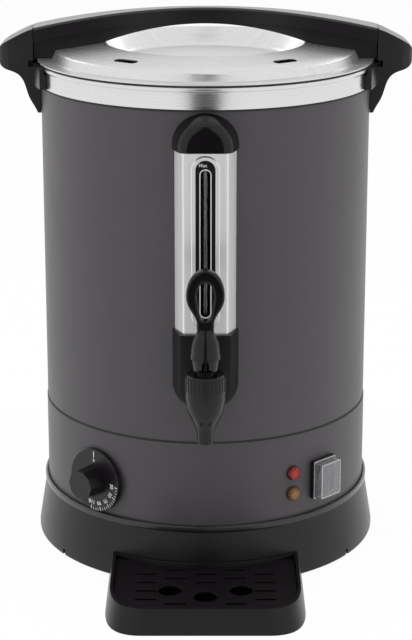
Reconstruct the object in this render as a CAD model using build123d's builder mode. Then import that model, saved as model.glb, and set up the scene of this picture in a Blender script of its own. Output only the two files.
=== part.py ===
from build123d import *

import os
from math import cos, hypot, radians, sin, sqrt

os.makedirs("parts", exist_ok=True)

# Hot water urn. Millimetres, +Z up. The origin is on the vessel's axis at the floor.
# The tap faces -Y, and +X is to the right of someone who stands in front of it.

# ============================================================ driving dimensions

# Clearances
loose = 0.1  # a fixed piece beside the one that carries it
running = 0.05  # a shaft in its hole, on the radius
rest_gap = 0.1  # flat faces of two pieces that part
swing_gap = 0.6  # a moving piece beside a fixed one
screw_play = 0.2  # a screw in its through hole, on the radius

# Base ring, foot ring and bottom plate
base_height = 48.0
base_lift = 1.0  # underside of the base ring above the floor
base_foot_out = 8.8  # foot of the skirt beyond the shell
base_lip_out = 3.4
base_lip_h = 5.0
base_neck_in = 1.0  # the skirt under the lip
base_wall = 3.0
base_edge_r = 3.0
base_floor_t = 5.5
base_floor_in = 13.0  # hole in the floor, inside the shell
lip_depth = 6.0  # how deep the panel stands in the base ring
foot_ring_in = 3.0  # middle of the foot ring, inside the shell
foot_ring_w = 8.0
foot_ring_h = 3.0
notch_w = 3.0
notch_h = 4.5
notch_angle = 55.0
plate_t = 1.2
air_slot_circle_r = 35.0
air_slot_length = 16.0
air_slot_w = 3.5

# Panel ring, outer shell and the seals at their seams
shell_r = 131.0
panel_proud = 0.5
sheet_t = 1.2
panel_height = 73.4
shell_height = 257.3
seam = 1.6
seal_skirt = 4.5
seal_t = 0.8

# Inner vessel and its rolled rim
jacket = 10.0  # inside of the vessel's wall to the outside of the shell
vessel_t = 1.2
floor_above_seam = 3.5
band_height = 16.6
band_proud = 1.0
bead_proud = 1.6
bead_height = 2.8

# Lid
gasket_t = 1.2
gasket_lip = 6.3
pan_t = 1.0
pan_flange_out = 2.5  # flange beyond the shell
pan_shoulder_in = 3.0  # the shoulder's top, inside its foot
pan_shoulder_h = 6.6
pan_ring_h = 13.5  # top of the sloping ring above the gasket
dish_r = 81.0
dish_floor_r = 70.0
dish_depth = 15.0
vent_in = 19.4  # middle of a vent, inside the pan's wall
vent_angle = 36.2
vent_length = 21.0
vent_w = 7.5

# Lid handle: an arch from one side handle to the other
arch_end_out = 5.2  # ends of the arch beyond the shell
arch_rise = 39.2  # crown above the lid flange
arch_end_rise = 23.9
arch_band_h = 11.0
arch_thickness = 12.8
arch_spring_x = 81.0
arch_web_inset = 2.5
arch_half_w = [6.5, 11.5, 15.5, 16.6]  # at the crown, half way, near the end and past it
arch_chamfer = 1.6
lid_screw_in = 32.2  # lid screws inside the ends of the arch
lid_screw_r = 2.0
screw_head_r = 3.6
screw_head_h = 2.2

# Side handles
ear_half_w = 16.5
ear_reach = 33.0  # nose beyond the shell
ear_nose_r = 9.0
ear_crown = [(11.8, 7.0), (3.1, 12.4), (0.0, 16.0)]  # in from the nose, below the top
ear_chin = [(0.0, 24.0), (4.6, 30.6)]
ear_leg = [(17.6, 31.1), (14.4, 27.9), (11.3, 20.9), (8.6, 12.5), (4.4, 4.8), (2.0, 0.0)]
ear_slot_d = 3.0  # the lock's slot, out from the seam
ear_slot_h = 5.0
ear_slot_down = 27.0
ear_collar_t = 5.0
ear_collar_angle = 21.0
ear_collar_h = 16.4
ear_drop = 22.3  # tip of the leg below the top of the shell
ear_screw_z = 8.4  # above the foot of the band
ear_screw_angle = 4.4

# Sight gauge
tube_r = 3.5
tube_wall = 1.0
tube_out = 6.5  # axis of the tube in front of the shell
gauge_bottom = 207.5
cap_below_shell_top = 0.6
cover_half_w = 23.0
cover_flat_half_w = 16.7
cover_out = 13.5  # front of the cover beyond the shell
cover_t = 1.2
window_w = 14.8
window_above_foot = 7.5
window_below_cap = 5.5
window_lip = 3.3
window_lip_h = 0.9
backing_slot_w = 7.4
backing_slot_in = 6.75  # ends of the slot inside those of the window
backing_half_w = 12.5
backing_t = 2.0
seal_r = 5.5
socket_depth = 11.0
gauge_seal_h = 6.0
cap_r = 24.2
cap_height = 27.2
cap_edge_r = 8.0
cap_out = 16.5
side_slope = 18.0
vent_pipe_r = 3.0
vent_pipe_wall = 0.7

# Tap
tap_z = 166.0  # axis of the shank
tap_reach = 51.0  # axis of the spout beyond the shell
housing_half_w = 24.3
housing_drop = 23.0
housing_corner_r = 22.0
housing_out = 16.0
shank_r = 8.8
shank_bore_r = 5.0
collar_r = 12.5
collar_t = 3.0
body_r = 15.0
body_up = 12.0  # top of the body above the shank's axis
spout_drop = 30.0
spout_tip_r = 6.0
spout_bore_r = 4.5
chamber_r = 11.0
seat_drop = 6.0
washer_t = 2.0
washer_r = 13.5
nut_across = 25.0
nut_t = 6.0
bonnet_r = 15.2
bonnet_h = 11.6
bonnet_boss_r = 6.2
bonnet_boss_h = 2.4
bonnet_ribs = 30
spring_room_r = 8.2
stem_r = 3.0
tongue_half_t = 2.3
cup_r = 7.0
cup_h = 8.0
wire_r = 0.6
spring_turns = 5

# Tap lever
cam_height = 5.8  # pin above the cam's flat
cam_gain = 3.2  # lift in mm per radian of tilt
lever_range = 45.0
lever_pin_r = 1.6
lever_pin_half = 8.2
fork_w = 5.2
foot_low_r = 8.9
foot_high_r = 10.3
foot_h = 9.4
bell_r = 11.1
bell_ring_h = 2.5
neck_half_w = 6.3
neck_h = 33.0
loop_half_w = 14.0
loop_wide_h = 57.0
lever_h = 76.4
loop_t = 9.0
loop_round = 1.5
hole_half_w = 6.4
hole_low_h = 38.6
hole_high_h = 67.4

# Thermostat and its knob
knob_angle = -40.5
control_z = 74.4
dial_r = 25.6
dial_t = 3.0
dial_gap = 0.9  # back of the dial from the panel
grip_r = 12.5
grip_h = 15.8
grip_sides = 10
knob_shaft_r = 3.0
bushing_r = 4.6
thermostat_w = 34.0
thermostat_depth = 26.0
bulb_r = 3.0
capillary_r = 0.8

# Lamps and switch
lamp_angle = 31.4
lamp_pitch = 17.1
lamp_z = 75.75
lens_r = 5.8
lens_h = 3.6
lamp_body_r = 5.0
lamp_body_length = 25.0
lamp_nut_r = 7.0
switch_angle = 44.5
bezel_w = 26.0
bezel_h = 32.0
bezel_t = 3.0
switch_body_w = 21.6
switch_body_h = 27.6
switch_depth = 26.0
rocker_w = 16.4
rocker_half_h = 11.7
rocker_tilt = 9.0
rocker_pivot_in = 3.5  # pivot behind the panel's surface
rocker_crown = 6.0
rocker_side_gap = 0.3
rocker_pin_r = 1.5
cover_box_w = 23.4
cover_box_h = 29.4
cover_box_out = 7.0
cover_box_t = 1.0

# Heater, cut-out, terminal block and tie rods
heater_r = 70.0
heater_t = 4.0
element_r = 50.0
element_tube_r = 3.6
element_gap_angle = 50.0
element_end_r = 4.6
element_drop = 16.6
cutout_x = 55.0
cutout_y = 20.0
cutout_r = 12.0
cutout_h = 19.0
button_r = 2.5
button_travel = 1.5
button_out = 3.0
terminal_w = 40.0
terminal_d = 20.0
terminal_h = 16.0
terminal_y = 62.0
tie_circle_r = 90.0
tie_r = 3.0
tie_nut_across = 10.0
tie_nut_t = 3.0
tie_shoulder = 2.0
tie_end = 0.5
gland_z = 22.0
gland_r = 7.0
gland_flange_r = 9.5
gland_bore_r = 4.0

# Drip tray and grate
tray_h = 20.0
tray_half_w = 76.0
tray_front = 84.2  # front of the tray beyond the foot of the base ring
tray_corner_w = 29.0
tray_corner_d = 45.0
tray_draft = 3.5  # how far the sides lean in over the height
tray_wall = 2.5
tray_floor = 2.0
grate_t = 2.0
grate_down = 3.5  # top of the grate below the tray's edge
grate_ledge = 3.0
grate_play = 0.5
drip_hole_r = 9.0
hole_row_in = 36.0  # the drip holes behind the tray's front
hole_pitch = 27.0
hole_stagger = 11.0
slot_w = 3.2
slot_length = 17.0
slot_pitch_x = 22.5
slot_pitch_y = 7.5
corner_rows = 24.0  # rows without end slots, from the front of the tray

# ============================================================ worked-out places

base_foot_r = shell_r + base_foot_out
base_lip_r = shell_r + base_lip_out
base_neck_r = base_lip_r - base_neck_in
base_floor_r = shell_r - base_floor_in
foot_ring_r = shell_r - foot_ring_in
vessel_r = shell_r - jacket  # inside radius
pan_wall_r = vessel_r
pan_shoulder_r = pan_wall_r - pan_shoulder_in
pan_flange_r = shell_r + pan_flange_out
arch_end_r = shell_r + arch_end_out
lid_screw_x = arch_end_r - lid_screw_in

panel_r = shell_r + panel_proud
panel_in_r = panel_r - sheet_t
shell_in_r = shell_r - sheet_t
band_r = shell_r + band_proud
band_in_r = band_r - vessel_t
bead_r = band_r + bead_proud

base_floor_z = base_lift + base_floor_t
plate_top = base_floor_z + plate_t
panel_bottom = base_height - lip_depth
panel_top = panel_bottom + panel_height
shell_bottom = panel_top + seam
shell_top = shell_bottom + shell_height
band_bottom = shell_top + seam
rim_z = band_bottom + band_height
vessel_floor = shell_bottom + floor_above_seam
vessel_under = vessel_floor - vessel_t

gasket_low = rim_z + rest_gap
gasket_high = gasket_low + gasket_t
pan_low = gasket_high + rest_gap
flange_top = pan_low + pan_t
shoulder_z = flange_top + pan_shoulder_h
ring_z = gasket_low + gasket_t + pan_ring_h
dish_z = ring_z - dish_depth
arch_top = flange_top + arch_rise
arch_end_z = flange_top + arch_end_rise

tube_y = -(shell_r + tube_out)
cover_y = -(shell_r + cover_out)
gauge_top = shell_top - cap_below_shell_top - cap_height
gauge_height = gauge_top - gauge_bottom
window_height = gauge_height - window_above_foot - window_below_cap
backing_slot_h = window_height - 2 * backing_slot_in
housing_y = -(shell_r + housing_out)
tap_y = -(shell_r + tap_reach)
body_top = tap_z + body_up
seat_z = tap_z - seat_drop
tip_z = tap_z - spout_drop
bonnet_top = body_top + bonnet_h
boss_top = bonnet_top + bonnet_boss_h
lever_low = boss_top + rest_gap
pin_z = lever_low + cam_height

full_length = 3 * shell_r  # longer than any cut needs


def facing(angle, radius, height):
    """The plane that faces outwards at an angle to the right of the front."""
    turn = radians(angle)
    out = (sin(turn), -cos(turn), 0)
    spot = (radius * out[0], radius * out[1], height)
    return Plane(origin=spot, x_dir=(cos(turn), sin(turn), 0), z_dir=out)


def skirt_block(grow):
    """The space inside the flared skirt of the base ring, grown outwards."""
    foot = (base_foot_r + grow, base_lift + base_edge_r)
    neck = (base_neck_r + grow, base_height - base_lip_h)
    top = (neck[0], base_height)
    with BuildPart() as block:
        with BuildSketch(Plane.XZ):
            with BuildLine():
                Polyline((0, -1), (foot[0], -1), foot, neck, top, (0, base_height), close=True)
            make_face()
        revolve(axis=Axis.Z)
    return block.part


# ============================================================ base

# Base ring: a flared skirt with a lip round the panel and a floor for the plate
with BuildPart() as base_ring:
    add(skirt_block(0))
    with BuildSketch(Plane.XY.offset(base_height - base_lip_h)):
        Circle(base_lip_r)
    extrude(amount=base_lip_h)
    with BuildSketch(Plane.XY.offset(-1)):
        Circle(base_foot_r + 1)
    extrude(amount=1 + base_lift, mode=Mode.SUBTRACT)
    with BuildSketch(Plane.XY.offset(panel_bottom)):
        Circle(panel_r + 3 * loose)
    extrude(amount=lip_depth, mode=Mode.SUBTRACT)
    with BuildSketch(Plane.XZ):
        ledge_r = panel_in_r - 3
        wall_r = base_neck_r - base_wall
        with BuildLine():
            Polyline(
                (0, panel_bottom),
                (ledge_r, panel_bottom),
                (ledge_r, panel_bottom - base_wall),
                (wall_r, panel_bottom - 2 * base_wall),
                (base_foot_r - base_wall - base_neck_in, base_floor_z),
                (base_floor_r, base_floor_z),
                (base_floor_r, 0),
                (0, 0),
                close=True,
            )
        make_face()
    revolve(axis=Axis.Z, mode=Mode.SUBTRACT)
    with BuildSketch(Plane.XY.offset(base_lift)):
        Circle(foot_ring_r + foot_ring_w / 2 + loose)
        Circle(foot_ring_r - foot_ring_w / 2 - loose, mode=Mode.SUBTRACT)
    extrude(amount=foot_ring_h - base_lift, mode=Mode.SUBTRACT)
    for angle in (notch_angle, -notch_angle, 180 - notch_angle, 180 + notch_angle):
        with BuildSketch(facing(angle, base_foot_r - base_edge_r, base_lift + notch_h / 2)):
            Rectangle(notch_w, notch_h)
        extrude(amount=2 * base_edge_r, mode=Mode.SUBTRACT)
    with BuildSketch(facing(180, base_floor_r, gland_z)):
        Circle(gland_r + loose)
    extrude(amount=base_foot_r - base_floor_r, mode=Mode.SUBTRACT)
    lip_edges = edges().filter_by(GeomType.CIRCLE).filter_by(lambda e: abs(e.radius - base_lip_r) < loose)
    fillet(edges().filter_by(GeomType.CIRCLE).group_by(Axis.Z)[-1] + lip_edges.sort_by(Axis.Z)[:1], radius=0.9)
base_ring.part.label = "base_ring"
export_step(base_ring.part, "parts/base_ring.step")

# Foot ring: the rubber ring that the urn stands on
with BuildPart() as foot_ring:
    with BuildSketch():
        Circle(foot_ring_r + foot_ring_w / 2)
        Circle(foot_ring_r - foot_ring_w / 2, mode=Mode.SUBTRACT)
    extrude(amount=foot_ring_h)
foot_ring.part.label = "foot_ring"
export_step(foot_ring.part, "parts/foot_ring.step")

# Bottom plate: a pressed disc with air slots, screwed up by the tie rods
with BuildPart() as bottom_plate:
    with BuildSketch(Plane.XY.offset(base_floor_z)):
        Circle(base_foot_r - base_wall - 4)
        with PolarLocations(tie_circle_r, 3, start_angle=90):
            Circle(tie_r + screw_play, mode=Mode.SUBTRACT)
        with PolarLocations(air_slot_circle_r, 12, start_angle=15):
            SlotOverall(air_slot_length, air_slot_w, mode=Mode.SUBTRACT)
        with Locations((cutout_x, cutout_y)):
            Circle(button_r + screw_play, mode=Mode.SUBTRACT)
    extrude(amount=plate_t)
bottom_plate.part.label = "bottom_plate"
export_step(bottom_plate.part, "parts/bottom_plate.step")

# Tie rods: three studs from the vessel's floor down through the bottom plate
tie_shoulder_r = tie_r + tie_shoulder
with BuildPart() as tie_rods:
    with BuildSketch(Plane.XY.offset(base_floor_z - tie_nut_t - tie_end)):
        with PolarLocations(tie_circle_r, 3, start_angle=90):
            Circle(tie_r)
    extrude(amount=vessel_under - base_floor_z + tie_nut_t + tie_end)
    with BuildSketch(Plane.XY.offset(plate_top)):
        with PolarLocations(tie_circle_r, 3, start_angle=90):
            Circle(tie_shoulder_r)
    extrude(amount=4)
tie_rods.part.label = "tie_rods"
export_step(tie_rods.part, "parts/tie_rods.step")

with BuildPart() as tie_nuts:
    with BuildSketch(Plane.XY.offset(base_floor_z - tie_nut_t)):
        with PolarLocations(tie_circle_r, 3, start_angle=90):
            RegularPolygon(tie_nut_across / 2, 6, major_radius=False)
            Circle(tie_r + running, mode=Mode.SUBTRACT)
    extrude(amount=tie_nut_t)
tie_nuts.part.label = "tie_nuts"
export_step(tie_nuts.part, "parts/tie_nuts.step")

# Cord gland: a flanged bush in the back of the base ring
with BuildPart() as cord_gland:
    with BuildSketch(facing(180, base_lip_r - 6, gland_z)):
        Circle(gland_flange_r)
    extrude(amount=base_foot_r - base_lip_r + 6)
    add(skirt_block(loose), mode=Mode.SUBTRACT)
    with BuildSketch(facing(180, base_lip_r - base_wall - 6, gland_z)):
        Circle(gland_r)
    extrude(amount=base_foot_r - base_lip_r + base_wall + 6)
    with BuildSketch(facing(180, base_lip_r - base_wall - 6, gland_z)):
        Circle(gland_bore_r)
    extrude(amount=base_foot_r - base_lip_r + base_wall + 6, mode=Mode.SUBTRACT)
cord_gland.part.label = "cord_gland"
export_step(cord_gland.part, "parts/cord_gland.step")

# ============================================================ casing

lamp_heights = (lamp_z + lamp_pitch / 2, lamp_z - lamp_pitch / 2)

# Panel ring: the painted band with the controls
with BuildPart() as panel_ring:
    with BuildSketch(Plane.XY.offset(panel_bottom)):
        Circle(panel_r)
        Circle(panel_in_r, mode=Mode.SUBTRACT)
    extrude(amount=panel_height)
    with BuildSketch(facing(knob_angle, panel_in_r - 3, control_z)):
        Circle(bushing_r + screw_play)
    extrude(amount=10, mode=Mode.SUBTRACT)
    for height in lamp_heights:
        with BuildSketch(facing(lamp_angle, panel_in_r - 3, height)):
            Circle(lamp_body_r + screw_play)
        extrude(amount=10, mode=Mode.SUBTRACT)
    with BuildSketch(facing(switch_angle, panel_in_r - 3, control_z)):
        Rectangle(switch_body_w + 2 * screw_play, switch_body_h + 2 * screw_play)
    extrude(amount=10, mode=Mode.SUBTRACT)
panel_ring.part.label = "panel_ring"
export_step(panel_ring.part, "parts/panel_ring.step")

# Seam seals: a thin web between two sheets and a skirt inside both of them
with BuildPart() as panel_seal:
    with BuildSketch(Plane.XY.offset(panel_top - seal_skirt)):
        Circle(shell_in_r - loose)
        Circle(shell_in_r - loose - seal_t, mode=Mode.SUBTRACT)
    extrude(amount=2 * seal_skirt + seam)
    with BuildSketch(Plane.XY.offset(panel_top)):
        Circle(shell_r + panel_proud / 2)
        Circle(shell_in_r - loose - seal_t, mode=Mode.SUBTRACT)
    extrude(amount=seam)
panel_seal.part.label = "panel_seal"
export_step(panel_seal.part, "parts/panel_seal.step")

with BuildPart() as rim_seal:
    with BuildSketch(Plane.XY.offset(shell_top - seal_skirt)):
        Circle(shell_in_r - loose)
        Circle(shell_in_r - loose - seal_t, mode=Mode.SUBTRACT)
    extrude(amount=2 * seal_skirt + seam)
    with BuildSketch(Plane.XY.offset(shell_top)):
        Circle(shell_r + band_proud / 2)
        Circle(shell_in_r - loose - seal_t, mode=Mode.SUBTRACT)
    extrude(amount=seam)
rim_seal.part.label = "rim_seal"
export_step(rim_seal.part, "parts/rim_seal.step")

vent_pipe_z = gauge_top + socket_depth + vent_pipe_r + 1.5

# Outer shell: the painted tube round the vessel
with BuildPart() as outer_shell:
    with BuildSketch(Plane.XY.offset(shell_bottom)):
        Circle(shell_r)
        Circle(shell_in_r, mode=Mode.SUBTRACT)
    extrude(amount=shell_height)
    with BuildSketch(facing(0, shell_in_r - 3, tap_z)):
        Circle(shank_r + screw_play)
    extrude(amount=6, mode=Mode.SUBTRACT)
    with BuildSketch(facing(0, shell_in_r - 3, vent_pipe_z)):
        Circle(vent_pipe_r + screw_play)
    extrude(amount=6, mode=Mode.SUBTRACT)
outer_shell.part.label = "outer_shell"
export_step(outer_shell.part, "parts/outer_shell.step")

# Vessel bottom: a flat disc welded into the foot of the wall
with BuildPart() as vessel_bottom:
    with BuildSketch(Plane.XY.offset(vessel_under)):
        Circle(vessel_r - loose)
    extrude(amount=vessel_t)
vessel_bottom.part.label = "vessel_bottom"
export_step(vessel_bottom.part, "parts/vessel_bottom.step")

# Inner vessel: one sheet, from the bottom up, over the rim and down outside as the band
with BuildPart() as inner_vessel:
    with BuildSketch(Plane.XZ):
        with BuildLine():
            FilletPolyline(
                (vessel_r, vessel_under),
                (vessel_r, rim_z),
                (bead_r, rim_z),
                (bead_r, rim_z - bead_height),
                (band_r, rim_z - bead_height - bead_proud * 0.6),
                (band_r, band_bottom),
                radius=[1.6, 1.6, 1.5, 0.8],
            )
            offset(amount=vessel_t, side=Side.RIGHT)
        make_face()
    revolve(axis=Axis.Z)
    with BuildSketch(facing(0, vessel_r - 6, tap_z)):
        Circle(shank_r + screw_play)
    extrude(amount=9, mode=Mode.SUBTRACT)
    with BuildSketch(facing(0, vessel_r - 6, vent_pipe_z)):
        Circle(vent_pipe_r + loose)
    extrude(amount=9, mode=Mode.SUBTRACT)
    for side in (90, -90):
        for angle in (side - ear_screw_angle, side + ear_screw_angle):
            with BuildSketch(facing(angle, band_in_r - 2, band_bottom + ear_screw_z)):
                Circle(lid_screw_r + screw_play)
            extrude(amount=6, mode=Mode.SUBTRACT)
inner_vessel.part.label = "inner_vessel"
export_step(inner_vessel.part, "parts/inner_vessel.step")

# ============================================================ side handles

nose_x = shell_r + ear_reach
ear_top = arch_end_z - 0.5
ear_front_r = arch_end_r + swing_gap
ear_tip_z = shell_top - ear_drop
ear_back_x = shell_r - 4
crown_line = [(nose_x - inward, ear_top - down) for inward, down in ear_crown]
chin_line = [(nose_x - inward, ear_top - down) for inward, down in ear_chin]
leg_line = [(shell_r + out, ear_tip_z + up) for out, up in ear_leg]

# Right handle: a wing with a rounded nose, a leg down the shell and a collar round the band
with BuildPart() as handle_right:
    with BuildSketch(Plane.XZ):
        with BuildLine():
            Spline((ear_front_r - 8, ear_top + 1.5), (ear_front_r, ear_top), *crown_line)
            Line(crown_line[-1], chin_line[0])
            Spline(*chin_line, *leg_line)
            Polyline(
                leg_line[-1],
                (ear_back_x, ear_tip_z),
                (ear_back_x, ear_top + 1.5),
                (ear_front_r - 8, ear_top + 1.5),
            )
        make_face()
    extrude(amount=ear_half_w, both=True)
    with BuildSketch(Plane.XY.offset(ear_tip_z - 1)):
        with Locations((nose_x / 2, 0)):
            RectangleRounded(nose_x, 2 * ear_half_w, ear_nose_r)
    extrude(amount=full_length, mode=Mode.INTERSECT)
    with BuildSketch(Plane.XY.offset(band_bottom)):
        Circle(band_r + ear_collar_t)
        with Locations((full_length / 2, 0)):
            Rectangle(full_length, 2 * band_r * sin(radians(ear_collar_angle)), mode=Mode.INTERSECT)
    extrude(amount=ear_collar_h)
    with BuildSketch(Plane.XY.offset(ear_tip_z - 1)):
        Circle(shell_r + 2 * loose)
    extrude(amount=full_length, mode=Mode.SUBTRACT)
    with BuildSketch(Plane.XY.offset(shell_top - 1)):
        Circle(band_r + 2 * loose)
    extrude(amount=full_length, mode=Mode.SUBTRACT)
    with BuildSketch(Plane.XY.offset(rim_z - bead_height - 2)):
        Circle(bead_r + 2 * loose)
    extrude(amount=full_length, mode=Mode.SUBTRACT)
    with BuildSketch(Plane.XY.offset(rim_z - rest_gap)):
        Circle(ear_front_r)
    extrude(amount=full_length, mode=Mode.SUBTRACT)
    with BuildSketch(Plane.XZ):
        with Locations((ear_front_r, ear_top - ear_slot_down)):
            Rectangle(2 * ear_slot_d, ear_slot_h)
    extrude(amount=ear_half_w, both=True, mode=Mode.SUBTRACT)
    for angle in (90 - ear_screw_angle, 90 + ear_screw_angle):
        with BuildSketch(facing(angle, band_r - 2, band_bottom + ear_screw_z)):
            Circle(lid_screw_r + running)
        extrude(amount=11, mode=Mode.SUBTRACT)
handle_right.part.label = "handle_right"
export_step(handle_right.part, "parts/handle_right.step")

with BuildPart() as handle_left:
    mirror(handle_right.part, about=Plane.YZ)
handle_left.part.label = "handle_left"
export_step(handle_left.part, "parts/handle_left.step")

# Handle screws: driven outwards from inside the band
with BuildPart() as handle_screws:
    for side in (90, -90):
        for angle in (side - ear_screw_angle, side + ear_screw_angle):
            with BuildSketch(facing(angle, band_in_r - 2 * loose, band_bottom + ear_screw_z)):
                Circle(lid_screw_r)
            extrude(amount=9)
            with BuildSketch(facing(angle, band_in_r - 2 * loose, band_bottom + ear_screw_z)):
                Circle(screw_head_r)
            extrude(amount=-screw_head_h)
handle_screws.part.label = "handle_screws"
export_step(handle_screws.part, "parts/handle_screws.step")

# ============================================================ sight gauge


def clear_of_shell():
    """The outer shell's space with a little room, to hollow the backs of what leans on it."""
    with BuildPart() as space:
        with BuildSketch(Plane.XY.offset(panel_bottom)):
            Circle(shell_r + 2 * loose)
        extrude(amount=full_length)
    return space.part


# Gauge cover: a folded steel channel with a long window in a raised lip
window_z = gauge_bottom + window_above_foot + window_height / 2
with BuildPart() as gauge_cover:
    with BuildSketch(Plane.XY.offset(gauge_bottom)):
        with BuildLine():
            FilletPolyline(
                (-cover_half_w, -sqrt(shell_r**2 - cover_half_w**2) - 3 * loose),
                (-cover_flat_half_w, cover_y),
                (cover_flat_half_w, cover_y),
                (cover_half_w, -sqrt(shell_r**2 - cover_half_w**2) - 3 * loose),
                radius=2.0,
            )
            offset(amount=cover_t, side=Side.LEFT)
        make_face()
    extrude(amount=gauge_height)
    with BuildSketch(facing(0, -cover_y, window_z)):
        SlotOverall(window_height + 2 * window_lip, window_w + 2 * window_lip, rotation=90)
    extrude(amount=window_lip_h, taper=45)
    with BuildSketch(facing(0, -cover_y - 2 * cover_t, window_z)):
        SlotOverall(window_height, window_w, rotation=90)
    extrude(amount=4 * cover_t, mode=Mode.SUBTRACT)
    add(clear_of_shell(), mode=Mode.SUBTRACT)
gauge_cover.part.label = "gauge_cover"
export_step(gauge_cover.part, "parts/gauge_cover.step")

# Gauge backing: the black strip behind the window, on two ribs that stand on the shell
backing_front = -cover_y - cover_t - loose
with BuildPart() as gauge_backing:
    with BuildSketch(facing(0, backing_front, gauge_bottom + gauge_height / 2)):
        Rectangle(2 * backing_half_w, gauge_height - 2 * loose)
        SlotOverall(backing_slot_h, backing_slot_w, rotation=90, mode=Mode.SUBTRACT)
    extrude(amount=-backing_t)
    with BuildSketch(Plane.XY.offset(gauge_bottom + loose)):
        with Locations((backing_half_w - 2.5, -shell_r + 1), (2.5 - backing_half_w, -shell_r + 1)):
            Rectangle(2, backing_front - backing_t - shell_r + 1, align=(Align.CENTER, Align.MAX))
    extrude(amount=gauge_height - 2 * loose)
    add(clear_of_shell(), mode=Mode.SUBTRACT)
gauge_backing.part.label = "gauge_backing"
export_step(gauge_backing.part, "parts/gauge_backing.step")

# Gauge tube and the two rubber rings at its ends
tube_low = gauge_bottom - socket_depth
tube_high = gauge_top + socket_depth
with BuildPart() as gauge_tube:
    with BuildSketch(Plane.XY.offset(tube_low)):
        with Locations((0, tube_y)):
            Circle(tube_r)
            Circle(tube_r - tube_wall, mode=Mode.SUBTRACT)
    extrude(amount=tube_high - tube_low)
gauge_tube.part.label = "gauge_tube"
export_step(gauge_tube.part, "parts/gauge_tube.step")

with BuildPart() as gauge_seals:
    for low in (tube_low + 1, tube_high - 1 - gauge_seal_h):
        with BuildSketch(Plane.XY.offset(low)):
            with Locations((0, tube_y)):
                Circle(seal_r)
                Circle(tube_r + running, mode=Mode.SUBTRACT)
        extrude(amount=gauge_seal_h)
gauge_seals.part.label = "gauge_seals"
export_step(gauge_seals.part, "parts/gauge_seals.step")

# Gauge cap: a half dome over the top of the gauge, with the tube's socket and the vent's way in
with BuildPart() as gauge_cap:
    with BuildSketch(facing(0, shell_r - 4, gauge_top + cap_height - cap_r)):
        Circle(cap_r + 1.3)
        with Locations((0, -cap_r)):
            Rectangle(2 * (cap_r + 1.3), 2 * cap_r)
    extrude(amount=cap_out + 4, taper=side_slope)
    with BuildSketch(Plane.XY.offset(gauge_top - full_length)):
        Rectangle(full_length, full_length)
    extrude(amount=full_length, mode=Mode.SUBTRACT)
    fillet(faces().sort_by(Axis.Y)[0].edges().filter_by(GeomType.LINE, reverse=True), radius=cap_edge_r)
    add(clear_of_shell(), mode=Mode.SUBTRACT)
    with BuildSketch(Plane.XY.offset(gauge_top)):
        with Locations((0, tube_y)):
            Circle(seal_r + loose)
    extrude(amount=socket_depth + loose, mode=Mode.SUBTRACT)
    with BuildSketch(Plane.XY.offset(gauge_top)):
        with Locations((0, tube_y)):
            Circle(tube_r - tube_wall)
    extrude(amount=vent_pipe_z - gauge_top, mode=Mode.SUBTRACT)
    with BuildSketch(facing(0, shell_r - 4, vent_pipe_z)):
        Circle(vent_pipe_r + loose)
    extrude(amount=tube_out + 5, mode=Mode.SUBTRACT)
gauge_cap.part.label = "gauge_cap"
export_step(gauge_cap.part, "parts/gauge_cap.step")

# Vent pipe: joins the top of the gauge to the top of the vessel
with BuildPart() as gauge_vent_pipe:
    with BuildSketch(facing(0, vessel_r - 3, vent_pipe_z)):
        Circle(vent_pipe_r)
        Circle(vent_pipe_r - vent_pipe_wall, mode=Mode.SUBTRACT)
    extrude(amount=shell_r + tube_out - vessel_r + 3)
gauge_vent_pipe.part.label = "gauge_vent_pipe"
export_step(gauge_vent_pipe.part, "parts/gauge_vent_pipe.step")

# ============================================================ tap

tap_plane = Plane.XZ.offset(-tap_y)
tap_axis = Axis((0, tap_y, 0), (0, 0, 1))

# Tap housing: the black block under the gauge, with the tube's lower socket and the shank's bore
housing_h = gauge_bottom - tap_z + housing_drop
with BuildPart() as tap_housing:
    with BuildSketch(facing(0, shell_r - 4, gauge_bottom - housing_h / 2)):
        with Locations((0, housing_corner_r / 2)):
            RectangleRounded(2 * (housing_half_w + 1.3), housing_h + housing_corner_r, housing_corner_r)
    extrude(amount=housing_out + 4, taper=side_slope)
    with BuildSketch(Plane.XY.offset(gauge_bottom)):
        Rectangle(full_length, full_length)
    extrude(amount=full_length, mode=Mode.SUBTRACT)
    add(clear_of_shell(), mode=Mode.SUBTRACT)
    with BuildSketch(facing(0, shell_r - 4, tap_z)):
        Circle(shank_r + loose)
    extrude(amount=housing_out + 5, mode=Mode.SUBTRACT)
    with BuildSketch(Plane.XY.offset(gauge_bottom - socket_depth - loose)):
        with Locations((0, tube_y)):
            Circle(seal_r + loose)
    extrude(amount=socket_depth + 1, mode=Mode.SUBTRACT)
    with BuildSketch(Plane.XY.offset(tap_z)):
        with Locations((0, tube_y)):
            Circle(tube_r - tube_wall)
    extrude(amount=gauge_bottom - tap_z, mode=Mode.SUBTRACT)
tap_housing.part.label = "tap_housing"
export_step(tap_housing.part, "parts/tap_housing.step")

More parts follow.
